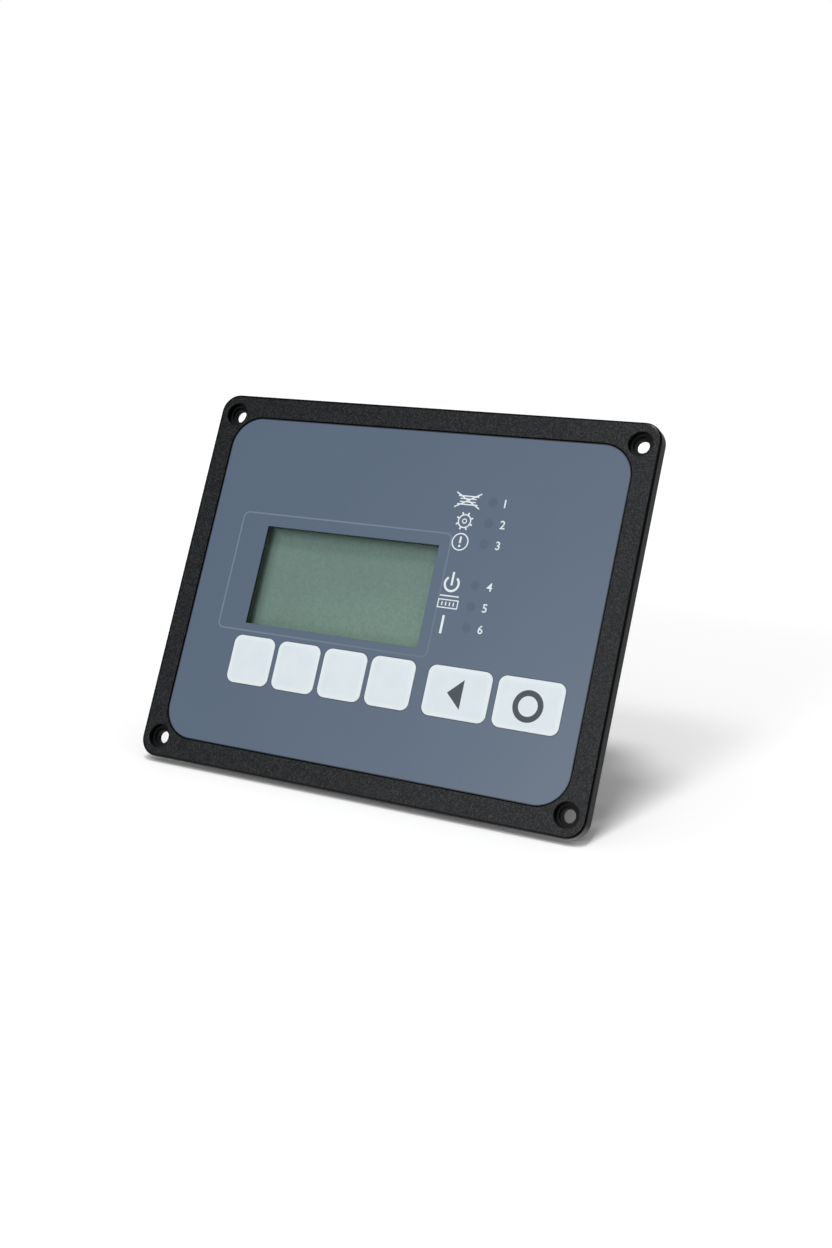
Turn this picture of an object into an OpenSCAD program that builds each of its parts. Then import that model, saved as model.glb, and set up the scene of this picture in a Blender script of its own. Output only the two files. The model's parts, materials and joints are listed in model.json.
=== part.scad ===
/* [Plate] */
// Width of the front plate
plate_w = 175; // [168:1:200]
// Height of the front plate
plate_h = 140; // [134:1:160]
// Thickness of the plate's flange
plate_t = 5; // [4.6:0.1:7]
// Radius of the plate's corners
plate_corner_r = 6.8; // [5.5:0.1:7.5]
// Rounding of the plate's front edge
front_edge_r = 0.8; // [0.4:0.1:1.4]
// Thickness of the wall behind the keypad
web_t = 1.9; // [1.5:0.1:2.4]

/* [Panel screws] */
// Distance of the screw holes from the plate's left and right edges
screw_inset_side = 7.15; // [7:0.05:7.8]
// Distance of the screw holes from the plate's top and bottom edges
screw_inset_end = 7.6; // [7.2:0.1:8]
// Diameter of the screw holes
screw_hole_d = 4.6; // [3.6:0.1:5.2]
// Diameter of the recess for a screw's head
head_recess_d = 8.6; // [7.6:0.1:9.4]
// Depth of the recess for a screw's head
head_recess_depth = 2.2; // [1.6:0.1:2.6]
// Diameter of the step inside the head recess
step_d = 6.4; // [5.6:0.1:7.2]
// Depth of the step inside the head recess
step_depth = 0.9; // [0.5:0.1:1.3]

/* [Overlay film] */
// Width of the black rim left bare beside the film
rim_w = 8.2; // [7.8:0.1:9]
// Width of the black rim left bare above and below the film
rim_h = 8.6; // [8.2:0.1:9.4]
// Radius of the film's corners
film_corner_r = 11.5; // [10:0.5:13]
// Thickness of the film
film_t = 0.4; // [0.3:0.05:0.6]
// How far the film's face lies behind the rim
film_sink = 0.3; // [0.2:0.05:0.5]
// Groove left between the film and the rim
film_gap = 0.3; // [0.2:0.05:0.5]

/* [Display window] */
// Width of the clear window
window_w = 70.4; // [60:0.2:72]
// Height of the clear window
window_h = 36.8; // [30:0.2:38]
// Window's centre, above or below the plate's centre
window_z = 2.2; // [2.2:0.1:4]
// Border of the pane behind the film, left of the window
pane_left = 11.4; // [6:0.1:12]
// Border of the pane behind the film, right of the window
pane_right = 4.1; // [3:0.1:5]
// Border of the pane behind the film, above the window
pane_above = 4.5; // [3:0.1:8]
// Border of the pane behind the film, below the window
pane_below = 2.8; // [2:0.1:3]

/* [Keys] */
// Width of each soft key
soft_key_w = 17.3; // [14:0.1:17.6]
// Height of all keys
key_h = 17.6; // [14:0.1:17.8]
// Distance from one soft key to the next
soft_key_pitch = 19.05; // [18.6:0.05:19.3]
// Height of the row of keys
key_row_z = -29.6; // [-31:0.1:-29.6]
// Width of the two wide keys
wide_key_w = 24; // [18:0.2:24.6]
// Distance from one wide key to the next
wide_key_pitch = 26.25; // [25.8:0.05:27]
// Distance from the last soft key to the first wide key
key_group_gap = 5; // [3:0.5:6]
// Distance from the last wide key to the film's edge
key_margin = 7.25; // [6:0.25:9]
// Radius of the keys' corners
key_corner_r = 3; // [2:0.1:4]
// How far the keys stand out of the film
key_proud = 0.2; // [0.1:0.05:0.3]
// Travel of a pressed key
key_travel = 0.3; // [0.2:0.05:0.35]
// Gap around each key
key_gap = 0.2; // [0.15:0.05:0.3]

/* [Keypad layers] */
// Thickness of the printed circuit under the keys
circuit_t = 0.5; // [0.3:0.05:0.6]
// Thickness of the spacer over the circuit
spacer_t = 0.7; // [0.7:0.05:0.9]
// How much smaller the layers are than the film, each side
layer_inset = 0.6; // [0.3:0.1:1.5]
// Diameter of the snap domes
dome_d = 8.4; // [6:0.2:10]
// Height of the snap domes
dome_h = 0.3; // [0.2:0.05:0.3]
// Width of the circuit's tail
tail_w = 13; // [8:1:16]
// Middle of the circuit's tail
tail_x = 20; // [10:1:26]

/* [Status lights] */
// Distance of the lights from the display's board
lamp_gap = 5.45; // [5:0.05:8]
// Height of the top light of the upper group
upper_lamps_z = 37.5; // [36:0.5:40]
// Height of the top light of the lower group
lower_lamps_z = 8; // [6:0.5:10]
// Distance from one light to the next
lamp_pitch = 7.45; // [6:0.05:8]
// Diameter of each light
lamp_d = 3; // [2.4:0.1:3.6]

/* [Housing] */
// Width of the flange outside the housing, left and right
flange_w = 16; // [15:0.5:18]
// Width of the flange outside the housing, above and below
flange_h = 16; // [15:0.5:17]
// Depth of the housing behind the flange
housing_depth = 31.4; // [30.4:0.2:36]
// Depth of the skirt moulded with the plate
skirt_depth = 14; // [12.5:0.5:16]
// Radius of the housing's corners
housing_corner_r = 5; // [4:0.5:7]
// Thickness of the housing's walls
wall = 2.4; // [2.2:0.1:3]
// Thickness of the rear cover's back
back_t = 3; // [2.6:0.1:3.6]
// Rounding of the rear cover's back edge
back_edge_r = 2; // [1:0.1:2.2]
// Height of the lip between the skirt and the cover
lip_h = 1.8; // [1.2:0.1:2.4]
// Width of the gasket behind the flange
gasket_w = 4; // [3:0.1:4.4]
// Thickness of the gasket behind the flange
gasket_t = 1; // [0.8:0.1:1.5]

/* [Display module] */
// Gap between the display's board and the housing's left wall
lcd_side_gap = 2.7; // [1.5:0.1:4]
// Border of the metal frame around the window
lcd_border = 7.2; // [6:0.1:8]
// Depth of the display's metal frame
lcd_depth = 8.5; // [7.5:0.1:9]
// Thickness of the display's glass
lcd_glass_t = 2.2; // [1.8:0.1:2.6]
// Border of the display's board around its metal frame, left and right
lcd_board_side = 4.1; // [3.8:0.1:4.4]
// Border of the display's board around its metal frame, above and below
lcd_board_end = 9.4; // [8:0.1:9.6]
// Height of the pin header between the two boards
header_gap = 4.1; // [3.6:0.1:4.6]

/* [Main board] */
// Thickness of both circuit boards
board_t = 1.6; // [1:0.1:2]
// Gap between the main board and the housing's walls
board_gap = 1.6; // [1:0.1:2.4]
// Length of the main processor's sides
processor_w = 14; // [10:1:16]
// Width of the driver chips
chip_w = 6.2; // [4:0.1:7]
// Height of the driver chips
chip_h = 5; // [3:0.1:6]
// Width of the supply's choke
choke_w = 12; // [9:0.5:13]
// Thickness of the supply's choke
choke_t = 6; // [3:0.5:7]
// Diameter of the supply capacitors
capacitor_d = 8; // [6:0.5:9]
// Height of the supply capacitors
capacitor_h = 10; // [7:0.5:11]

/* [Connectors] */
// Width of the bay for the plugs
bay_w = 100; // [98:1:104]
// Height of the bay for the plugs
bay_h = 24; // [22:1:25]
// Depth of the bay for the plugs
bay_depth = 7; // [6:0.2:7.6]
// Distance of the bay from the housing's lower wall
bay_bottom_gap = 6.6; // [5.6:0.2:8]
// Ways in each row of the harness header
harness_ways = 6; // [4:1:6]
// Distance between the harness header's ways
harness_pitch = 4.2; // [3.8:0.1:4.2]
// Ways of the terminal header
terminal_ways = 8; // [5:1:8]
// Distance between the terminal header's ways
terminal_pitch = 5.08; // [3.81:0.01:5.08]

/* [Hidden] */

// Faces of true round forms
$fn = 64;
// Overrun of every cut past the face it opens
cut = 1;

// Depths from front to back, where the flange's rear face is 0 and the front is negative
face_y = -plate_t;
film_front_y = face_y + film_sink;
film_back_y = film_front_y + film_t;
spacer_back_y = film_back_y + spacer_t;
recess_y = spacer_back_y + circuit_t;
web_back_y = recess_y + web_t;

// Outlines of the plate, the film and the housing
film_w = plate_w - 2 * rim_w;
film_h = plate_h - 2 * rim_h;
layer_w = film_w - 2 * layer_inset;
layer_h = film_h - 2 * layer_inset;
layer_corner_r = film_corner_r - layer_inset;
housing_w = plate_w - 2 * flange_w;
housing_h = plate_h - 2 * flange_h;
inner_w = housing_w - 2 * wall;
inner_h = housing_h - 2 * wall;
inner_corner_r = housing_corner_r - wall;
panel_screw_points = [for (sx = [-1, 1], sz = [-1, 1])
    [sx * (plate_w / 2 - screw_inset_side), sz * (plate_h / 2 - screw_inset_end)]];
gasket_inset = 1.2;
gasket_gap = 0.1;

// The display module, from its metal frame to its board
lcd_frame_w = window_w + 2 * lcd_border;
lcd_frame_h = window_h + 2 * lcd_border;
lcd_frame_t = 0.5;
lcd_view_margin = 0.6;
lcd_board_w = lcd_frame_w + 2 * lcd_board_side;
lcd_board_h = lcd_frame_h + 2 * lcd_board_end;
lcd_board_y = web_back_y + lcd_depth;
window_x = lcd_side_gap + lcd_board_w / 2 - inner_w / 2;
lcd_screw_edge = 2.5;
lcd_screw_points = [for (sx = [-1, 1], sz = [-1, 1])
    [window_x + sx * (lcd_board_w / 2 - lcd_screw_edge), window_z + sz * (lcd_board_h / 2 - lcd_screw_edge)]];
lcd_boss_d = 5.2;
header_pins = 20;
header_pitch = 2.54;
header_groove_w = 0.4;
header_skin = 0.8;
header_z = window_z + lcd_board_h / 2 - lcd_screw_edge;
driver_d = 11;
driver_t = 1.4;
driver_pitch = 24;
driver_z = window_z + 6;

// The window and the pane behind it
window_wall_gap = 0.3;
pane_gap = 0.15;
pane_w = window_w + pane_left + pane_right;
pane_h = window_h + pane_above + pane_below;
pane_x = window_x + (pane_right - pane_left) / 2;
pane_z = window_z + (pane_above - pane_below) / 2;
window_step_gap = 0.05;

// Keys and domes
key_front_y = film_front_y - key_proud;
key_edge_r = 0.15;
stop_key_x = film_w / 2 - key_margin - wide_key_w / 2;
back_key_x = stop_key_x - wide_key_pitch;
last_soft_key_x = back_key_x - wide_key_w / 2 - key_group_gap - soft_key_w / 2;
soft_key_x = [for (i = [3:-1:0]) last_soft_key_x - i * soft_key_pitch];
key_x = concat(soft_key_x, [back_key_x, stop_key_x]);
key_w = [for (i = [0:5]) i < 4 ? soft_key_w : wide_key_w];

// The main board
main_board_y = lcd_board_y + board_t + header_gap;
main_back_y = main_board_y + board_t;
main_board_w = inner_w - 2 * board_gap;
main_board_h = inner_h - 2 * board_gap;
board_boss_d = 5.8;
board_boss_side = 13;
board_boss_end = 4.2;
board_screw_points = [for (sx = [-1, 1], sz = [-1, 1])
    [sx * (inner_w / 2 - board_boss_side), sz * (inner_h / 2 - board_boss_end)]];
small_screw_d = 2.5;
small_head_d = 4.5;
small_head_h = 1.7;
small_screw_l = 6;
board_screw_d = 3;
board_head_d = 5.6;
board_head_h = 2;
board_screw_l = 7;
fit_gap = 0.05;
board_hole_gap = 0.1;

// Parts on the back of the main board
processor_x = 2;
processor_top_gap = 28;
processor_z = main_board_h / 2 - processor_top_gap;
processor_t = 1.4;
lead_reach = 1;
lead_t = 0.4;
chip_t = 1.6;
chip_pitch_x = 14;
chip_pitch_z = 12;
chip_points = [for (column = [1, 2], row = [-1, 1])
    [processor_x - column * chip_pitch_x, processor_z + row * chip_pitch_z / 2]];
crystal_w = 11;
crystal_h = 4.6;
crystal_t = 3.4;
crystal_gap = 3;
crystal_z = processor_z - processor_w / 2 - lead_reach - crystal_gap - crystal_h / 2;
capacitor_side_gap = 17.5;
capacitor_x = main_board_w / 2 - capacitor_side_gap;
capacitor_top_gap = 16;
capacitor_pitch = 12;
capacitor_groove = 0.4;
capacitor_z = [for (i = [0:2]) main_board_h / 2 - capacitor_top_gap - i * capacitor_pitch];
choke_gap = 8;
choke_x = capacitor_x - capacitor_d / 2 - choke_gap - choke_w / 2;
choke_top_gap = 20;
choke_z = main_board_h / 2 - choke_top_gap;
choke_rim = 1.5;
choke_sink = 0.6;

// The corners that hold the cover
cover_boss_d = 8;
cover_sleeve_d = 9;
cover_boss_inset = 3.8;
cover_points = [for (sx = [-1, 1], sz = [-1, 1])
    [sx * (inner_w / 2 - cover_boss_inset), sz * (inner_h / 2 - cover_boss_inset)]];
insert_d = 4.6;
insert_h = 6;
insert_tip_gap = 0.5;
cover_head_d = 5.6;
cover_head_h = 2.4;
cover_head_gap = 0.4;
cover_head_rise = 8;
cover_head_y = skirt_depth + cover_head_rise;
cover_screw_hole_d = 3.4;
cover_screw_tip_y = skirt_depth - insert_h + insert_tip_gap;
lip_t = 1.1;
lip_gap = 0.15;
seal_t = 0.5;
seal_gap = 0.2;
seal_y = skirt_depth - seal_t;

// Light pipes and lamps
lamp_x = window_x + lcd_board_w / 2 + lamp_gap;
lamp_z = concat([for (i = [0:2]) upper_lamps_z - i * lamp_pitch], [for (i = [0:2]) lower_lamps_z - i * lamp_pitch]);
lamp_hole_gap = 0.15;
pipe_bar_w = 5.4;
pipe_bar_t = 2;
pipe_bar_end = 4;
peg_d = 1.8;
peg_gap = 0.1;
peg_l = 2.6;
peg_rise = 2.6;
peg_z = [upper_lamps_z + peg_rise, lower_lamps_z - 2 * lamp_pitch - peg_rise];
lamp_body_w = 3.2;
lamp_body_h = 1.9;
lamp_pipe_gap = 0.3;

// The circuit's tail and its socket
tail_t = 0.3;
tail_wall_gap = 5.6;
tail_z = tail_wall_gap - inner_h / 2;
tail_slot_gap = 0.6;
tail_socket_h = 4;
tail_depth_in_socket = 2.5;
tail_socket_w = tail_w + 4;
tail_socket_t = 3.4;

// Connectors and the bay around them
bay_wall = 2;
bay_corner_r = 3;
bay_floor_y = housing_depth - bay_depth;
bay_z = bay_bottom_gap + bay_h / 2 - inner_h / 2;
header_proud = 1.6;
header_top_y = bay_floor_y + header_proud;
header_floor_t = 2.4;
header_wall = 1.3;
header_slot_gap = 0.3;
pin_w = 1;
pin_h = 4;
pin_gap = 0.05;
harness_x = -27;
harness_w = (harness_ways - 1) * harness_pitch + 8.6;
harness_h = 12;
harness_row_gap = 4.4;
harness_pin_points = [for (i = [0:harness_ways - 1], row = [-1, 1])
    [harness_x + (i - (harness_ways - 1) / 2) * harness_pitch, bay_z + row * harness_row_gap / 2]];
key_slot_w = 4.5;
key_slot_depth = 4;
way_slot_w = 1.8;
way_slot_depth = 3;
terminal_x = 20;
terminal_w = (terminal_ways - 1) * terminal_pitch + 7.4;
terminal_h = 8.6;
terminal_pin_points = [for (i = [0:terminal_ways - 1])
    [terminal_x + (i - (terminal_ways - 1) / 2) * terminal_pitch, bay_z]];

// The cover's sunk panel and its ribs
panel_depth = 1;
panel_margin = 11;
panel_rib_w = 1.6;
panel_rib_count = 7;
panel_bay_gap = 6;
panel_top_z = housing_h / 2 - panel_margin;
panel_bottom_z = bay_z + bay_h / 2 + panel_bay_gap;
panel_w = housing_w - 2 * panel_margin;

// Solid between two depths, drawn from its outline as seen from the front
module slab(front_y, back_y) {
    translate([0, back_y, 0])
        rotate([90, 0, 0])
            linear_extrude(back_y - front_y)
                children();
}

// Rectangle with round corners
module round_rect(w, h, r) {
    square([w - 2 * r, h], center = true);
    square([w, h - 2 * r], center = true);
    for (sx = [-1, 1], sy = [-1, 1])
        translate([sx * (w / 2 - r), sy * (h / 2 - r)])
            circle(r);
}

// Section through a rounded edge: flat inside, round at the outer top corner
module edge_section(reach, t, edge_r) {
    square([reach - edge_r, t]);
    square([reach, t - edge_r]);
    translate([reach - edge_r, t - edge_r])
        circle(edge_r);
}

// One side of a tablet with its rounded edge
module tablet_side(length, reach, t, edge_r) {
    translate([0, length / 2, 0])
        rotate([90, 0, 0])
            linear_extrude(length)
                edge_section(reach, t, edge_r);
}

// Plate with round corners and one rounded face edge, standing on its other face
module tablet(w, h, t, corner_r, edge_r) {
    core_w = w - 2 * corner_r;
    core_h = h - 2 * corner_r;
    translate([-core_w / 2, -core_h / 2, 0])
        cube([core_w, core_h, t]);
    for (turn = [0, 180])
        rotate(turn) {
            translate([core_w / 2, 0, 0])
                tablet_side(core_h, corner_r, t, edge_r);
            translate([0, core_h / 2, 0])
                rotate(90)
                    tablet_side(core_w, corner_r, t, edge_r);
            translate([core_w / 2, core_h / 2, 0])
                rotate_extrude(angle = 90)
                    edge_section(corner_r, t, edge_r);
            translate([-core_w / 2, core_h / 2, 0])
                rotate(90)
                    rotate_extrude(angle = 90)
                        edge_section(corner_r, t, edge_r);
        }
}

// Tablet whose rounded face looks forward
module front_tablet(w, h, front_y, back_y, corner_r, edge_r) {
    translate([0, back_y, 0])
        rotate([90, 0, 0])
            tablet(w, h, back_y - front_y, corner_r, edge_r);
}

// Tablet whose rounded face looks backward
module rear_tablet(w, h, front_y, back_y, corner_r, edge_r) {
    translate([0, front_y, 0])
        rotate([-90, 0, 0])
            tablet(w, h, back_y - front_y, corner_r, edge_r);
}

// Round bar or bore along the depth, at a point of the front view
module bar(point, d, front_y, back_y) {
    translate([point[0], back_y, point[1]])
        rotate([90, 0, 0])
            cylinder(h = back_y - front_y, d = d);
}

// Block given by its middle in the front view and its two depths
module block(x, z, w, h, front_y, back_y) {
    translate([x - w / 2, front_y, z - h / 2])
        cube([w, back_y - front_y, h]);
}

// Bore with a recess and a step for a panel screw
module panel_screw_bore(point) {
    bar(point, screw_hole_d, face_y - cut, cut);
    bar(point, step_d, face_y - cut, face_y + head_recess_depth + step_depth);
    bar(point, head_recess_d, face_y - cut, face_y + head_recess_depth);
}

// Recess for the film and the layers under it, with the round corners of the film
module keypad_recess() {
    slab(face_y - cut, recess_y)
        round_rect(film_w + 2 * film_gap, film_h + 2 * film_gap, film_corner_r + film_gap);
}

// Boss with a blind pilot hole, standing on the back of the web
module boss(point, d, top_y) {
    bar(point, d, web_back_y - web_t / 2, top_y);
}

// Skirt behind the flange, with the lip that the cover fits over
module skirt() {
    slab(-plate_t / 2, seal_y)
        round_rect(housing_w, housing_h, housing_corner_r);
    slab(seal_y - cut, skirt_depth + lip_h)
        round_rect(inner_w + 2 * lip_t, inner_h + 2 * lip_t, inner_corner_r + lip_t);
}

// Hollow of the skirt behind the web
module skirt_hollow() {
    slab(web_back_y, skirt_depth + lip_h + cut)
        round_rect(inner_w, inner_h, inner_corner_r);
}

// Flat ring around the housing, as wide as the gasket and larger by a gap on each side
module gasket_ring(gap, front_y, back_y) {
    inset = gasket_inset - gap;
    outset = gasket_inset + gasket_w + gap;
    difference() {
        slab(front_y, back_y)
            round_rect(housing_w + 2 * outset, housing_h + 2 * outset, housing_corner_r + outset);
        slab(front_y - cut, back_y + cut)
            round_rect(housing_w + 2 * inset, housing_h + 2 * inset, housing_corner_r + inset);
    }
}

// Pan-head screw with a cross recess, whose head sits on a face and looks backward
module screw(point, d, head_d, head_h, seat_y, l) {
    cross_w = head_d / 5;
    cross_l = head_d * 0.6;
    difference() {
        union() {
            bar(point, d, seat_y - l, seat_y + 0.01);
            bar(point, head_d, seat_y, seat_y + head_h);
        }
        block(point[0], point[1], cross_w, cross_l, seat_y + head_h / 2, seat_y + head_h + cut);
        block(point[0], point[1], cross_l, cross_w, seat_y + head_h / 2, seat_y + head_h + cut);
    }
}

// Row of upright pins
module pins(points) {
    for (point = points)
        block(point[0], point[1], pin_w, pin_w, main_back_y, main_back_y + header_floor_t + pin_h);
}

// Open shroud of a header, standing on the main board
module header_shroud(x, w, h, points) {
    difference() {
        block(x, bay_z, w, h, main_back_y, header_top_y);
        block(x, bay_z, w - 2 * header_wall, h - 2 * header_wall, main_back_y + header_floor_t, header_top_y + cut);
        for (point = points)
            block(point[0], point[1], pin_w + 2 * pin_gap, pin_w + 2 * pin_gap, main_back_y - cut, header_top_y);
    }
}

// Outline of all the openings for the keys
module key_openings() {
    for (i = [0:5])
        translate([key_x[i], key_row_z])
            round_rect(key_w[i] + 2 * key_gap, key_h + 2 * key_gap, key_corner_r + key_gap);
}

// Outline of the pocket for the pane
module pane_opening() {
    translate([pane_x, pane_z])
        square([pane_w + 2 * pane_gap, pane_h + 2 * pane_gap], center = true);
}

// Outline of the holes for the light pipes
module lamp_openings() {
    for (z = lamp_z)
        translate([lamp_x, z])
            circle(d = lamp_d + 2 * lamp_hole_gap);
}

// Moulded front plate with its skirt, bosses and ribs
module bezel_frame() {
    color("#1c1d1f")
        difference() {
            union() {
                difference() {
                    union() {
                        front_tablet(plate_w, plate_h, face_y, 0, plate_corner_r, front_edge_r);
                        skirt();
                    }
                    skirt_hollow();
                }
                bezel_bosses();
                bezel_ribs();
            }
            keypad_recess();
            gasket_ring(gasket_gap, -gasket_t, cut);
            for (point = panel_screw_points)
                panel_screw_bore(point);
            block(window_x, window_z, window_w + 2 * window_wall_gap, window_h + 2 * window_wall_gap,
                  recess_y - cut, web_back_y + cut);
            slab(recess_y - cut, web_back_y + cut)
                lamp_openings();
            block(tail_x, tail_z, tail_w + 2 * tail_slot_gap, tail_t + 2 * tail_slot_gap,
                  recess_y - cut, web_back_y + cut);
            bezel_bores();
        }
}

// Bosses that carry the display, the main board and the cover
module bezel_bosses() {
    for (point = lcd_screw_points)
        boss(point, lcd_boss_d, lcd_board_y);
    for (point = board_screw_points)
        boss(point, board_boss_d, main_board_y);
    for (point = cover_points)
        boss(point, cover_boss_d, skirt_depth);
    for (z = peg_z)
        boss([lamp_x, z], peg_d, web_back_y + peg_l);
}

// Blind holes in the bosses
module bezel_bores() {
    for (point = lcd_screw_points)
        bar(point, small_screw_d + 2 * fit_gap, lcd_board_y + board_t - small_screw_l - cut, lcd_board_y + cut);
    for (point = board_screw_points)
        bar(point, board_screw_d + 2 * fit_gap, main_back_y - board_screw_l - cut, main_board_y + cut);
    for (point = cover_points)
        bar(point, insert_d + 2 * fit_gap, skirt_depth - insert_h, skirt_depth + cut);
}

// Stiffening ribs on the back of the web, right of the lights
module bezel_ribs() {
    rib_t = 1.4;
    rib_depth = 5;
    rib_pitch = 16;
    rib_start_x = lamp_x + pipe_bar_w;
    rib_end_x = inner_w / 2 + wall / 2;
    for (i = [-1.5:1:1.5])
        block((rib_start_x + rib_end_x) / 2, i * rib_pitch, rib_end_x - rib_start_x, rib_t,
              web_back_y - web_t / 2, web_back_y + rib_depth);
    for (point = board_screw_points)
        block(point[0], (point[1] + sign(point[1]) * housing_h / 2) / 2, rib_t,
              housing_h / 2 - abs(point[1]), web_back_y - web_t / 2, web_back_y + rib_depth);
}

// Foam gasket in its groove behind the flange
module panel_gasket() {
    color("#101010")
        gasket_ring(0, -gasket_t, 0);
}

// Printed film over the whole keypad
module overlay_film() {
    color("#626f80")
        difference() {
            slab(film_front_y, film_back_y)
                round_rect(film_w, film_h, film_corner_r);
            block(window_x, window_z, window_w, window_h, film_front_y - cut, film_back_y + cut);
            slab(film_front_y - cut, film_back_y + cut)
                key_openings();
        }
}

// One key pad of the keypad, counted from the left
module key(index) {
    color("#dfe8ea")
        translate([key_x[index], 0, key_row_z])
            front_tablet(key_w[index], key_h, key_front_y, film_back_y, key_corner_r, key_edge_r);
}

// Spacer that leaves each key room to travel
module keypad_spacer() {
    color("#c9ccd0")
        slab(film_back_y, spacer_back_y)
            difference() {
                round_rect(layer_w, layer_h, layer_corner_r);
                key_openings();
                pane_opening();
                lamp_openings();
            }
}

// Circuit sheet under the keys with the tail that runs to the main board
module keypad_circuit() {
    color("#3b6e4f") {
        slab(spacer_back_y, recess_y)
            difference() {
                round_rect(layer_w, layer_h, layer_corner_r);
                pane_opening();
                lamp_openings();
            }
        block(tail_x, tail_z, tail_w, tail_t, spacer_back_y + circuit_t / 2,
              main_board_y - tail_socket_h + tail_depth_in_socket);
    }
}

// Snap domes on the circuit, one behind each key: a sloping skirt under a flatter crown
module snap_domes() {
    crown_d = dome_d * 0.6;
    skirt_h = dome_h * 0.7;
    color("#c8cacc")
        for (x = key_x)
            translate([x, spacer_back_y, key_row_z])
                rotate([90, 0, 0]) {
                    cylinder(h = skirt_h, d1 = dome_d, d2 = crown_d);
                    translate([0, 0, skirt_h])
                        cylinder(h = dome_h - skirt_h, d1 = crown_d, d2 = crown_d / 3);
                }
}

// Clear pane behind the film, with a step that fills the window
module display_pane() {
    color("#dfe8e4", 0.4) {
        block(pane_x, pane_z, pane_w, pane_h, film_back_y, recess_y);
        block(window_x, window_z, window_w - 2 * window_step_gap, window_h - 2 * window_step_gap,
              film_front_y, film_back_y + film_t / 2);
    }
}

// Metal frame around the display's glass
module lcd_frame() {
    color("#2a2b2c")
        difference() {
            block(window_x, window_z, lcd_frame_w, lcd_frame_h, web_back_y, lcd_board_y);
            block(window_x, window_z, window_w + 2 * lcd_view_margin, window_h + 2 * lcd_view_margin,
                  web_back_y - cut, lcd_board_y);
            block(window_x, window_z, lcd_frame_w - 2 * lcd_frame_t, lcd_frame_h - 2 * lcd_frame_t,
                  web_back_y + lcd_frame_t, lcd_board_y + cut);
        }
}

// Glass of the display
module lcd_glass() {
    color("#6e8a7c")
        block(window_x, window_z, lcd_frame_w - 2 * lcd_frame_t - 2 * pane_gap,
              lcd_frame_h - 2 * lcd_frame_t - 2 * pane_gap,
              web_back_y + lcd_frame_t, web_back_y + lcd_frame_t + lcd_glass_t);
}

// Light guide behind the glass
module lcd_backlight() {
    color("#e8ece6")
        block(window_x, window_z, lcd_frame_w - 2 * lcd_frame_t - 2 * pane_gap,
              lcd_frame_h - 2 * lcd_frame_t - 2 * pane_gap,
              web_back_y + lcd_frame_t + lcd_glass_t, lcd_board_y);
}

// Circuit board of the display
module lcd_board() {
    color("#1f5c3a")
        difference() {
            block(window_x, window_z, lcd_board_w, lcd_board_h, lcd_board_y, lcd_board_y + board_t);
            for (point = lcd_screw_points)
                bar(point, small_screw_d + 2 * board_hole_gap, lcd_board_y - cut, lcd_board_y + board_t + cut);
        }
}

// Driver chips of the display under drops of resin, on the back of its board
module display_drivers() {
    drop_top_d = driver_d * 0.6;
    color("#15161a")
        for (i = [-1:1])
            translate([window_x + i * driver_pitch, lcd_board_y + board_t, driver_z])
                rotate([-90, 0, 0])
                    cylinder(h = driver_t, d1 = driver_d, d2 = drop_top_d);
}

// Screws that hold the display's board
module lcd_screws() {
    color("#b8bcc0")
        for (point = lcd_screw_points)
            screw(point, small_screw_d, small_head_d, small_head_h, lcd_board_y + board_t, small_screw_l);
}

// Pin header between the display's board and the main board
module board_header() {
    header_w = header_pins * header_pitch;
    color("#1a1a1a")
        difference() {
            block(window_x, header_z, header_w, header_pitch, lcd_board_y + board_t, main_board_y);
            for (i = [0:header_pins])
                block(window_x + (i - header_pins / 2) * header_pitch, header_z, header_groove_w, header_pitch + cut,
                      lcd_board_y + board_t + header_skin, main_board_y - header_skin);
        }
}

// Clear light pipes on one bar, from the lamps to the film
module light_pipes() {
    bar_top = upper_lamps_z + pipe_bar_end;
    bar_bottom = lower_lamps_z - 2 * lamp_pitch - pipe_bar_end;
    color("#e4ecec", 0.5)
        difference() {
            union() {
                block(lamp_x, (bar_top + bar_bottom) / 2, pipe_bar_w, bar_top - bar_bottom,
                      web_back_y, web_back_y + pipe_bar_t);
                for (z = lamp_z)
                    bar([lamp_x, z], lamp_d, film_back_y, main_board_y - lamp_body_h - lamp_pipe_gap);
            }
            for (z = peg_z)
                bar([lamp_x, z], peg_d + 2 * peg_gap, web_back_y - cut, web_back_y + pipe_bar_t + cut);
        }
}

// Lamps on the main board, one behind each light pipe
module status_lamps() {
    color("#f2f2ea")
        for (z = lamp_z)
            difference() {
                block(lamp_x, z, lamp_body_w, lamp_body_w - 0.4, main_board_y - lamp_body_h, main_board_y);
                bar([lamp_x, z], lamp_body_w - 1, main_board_y - lamp_body_h - cut, main_board_y - lamp_body_h + 0.5);
            }
}

// Main circuit board
module main_board() {
    color("#1f5c3a")
        slab(main_board_y, main_back_y)
            difference() {
                square([main_board_w, main_board_h], center = true);
                for (point = cover_points)
                    translate(point)
                        circle(d = cover_sleeve_d + board_gap);
                for (point = board_screw_points)
                    translate(point)
                        circle(d = board_screw_d + 2 * board_hole_gap);
            }
}

// Screws that hold the main board
module board_screws() {
    color("#b8bcc0")
        for (point = board_screw_points)
            screw(point, board_screw_d, board_head_d, board_head_h, main_back_y, board_screw_l);
}

// Socket for the circuit's tail
module tail_socket() {
    color("#e9e4d4")
        difference() {
            block(tail_x, tail_z, tail_socket_w, tail_socket_t, main_board_y - tail_socket_h, main_board_y);
            block(tail_x, tail_z, tail_w + 2 * fit_gap, tail_t + 2 * fit_gap,
                  main_board_y - tail_socket_h - cut, main_board_y - tail_socket_h + tail_depth_in_socket);
        }
}

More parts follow.
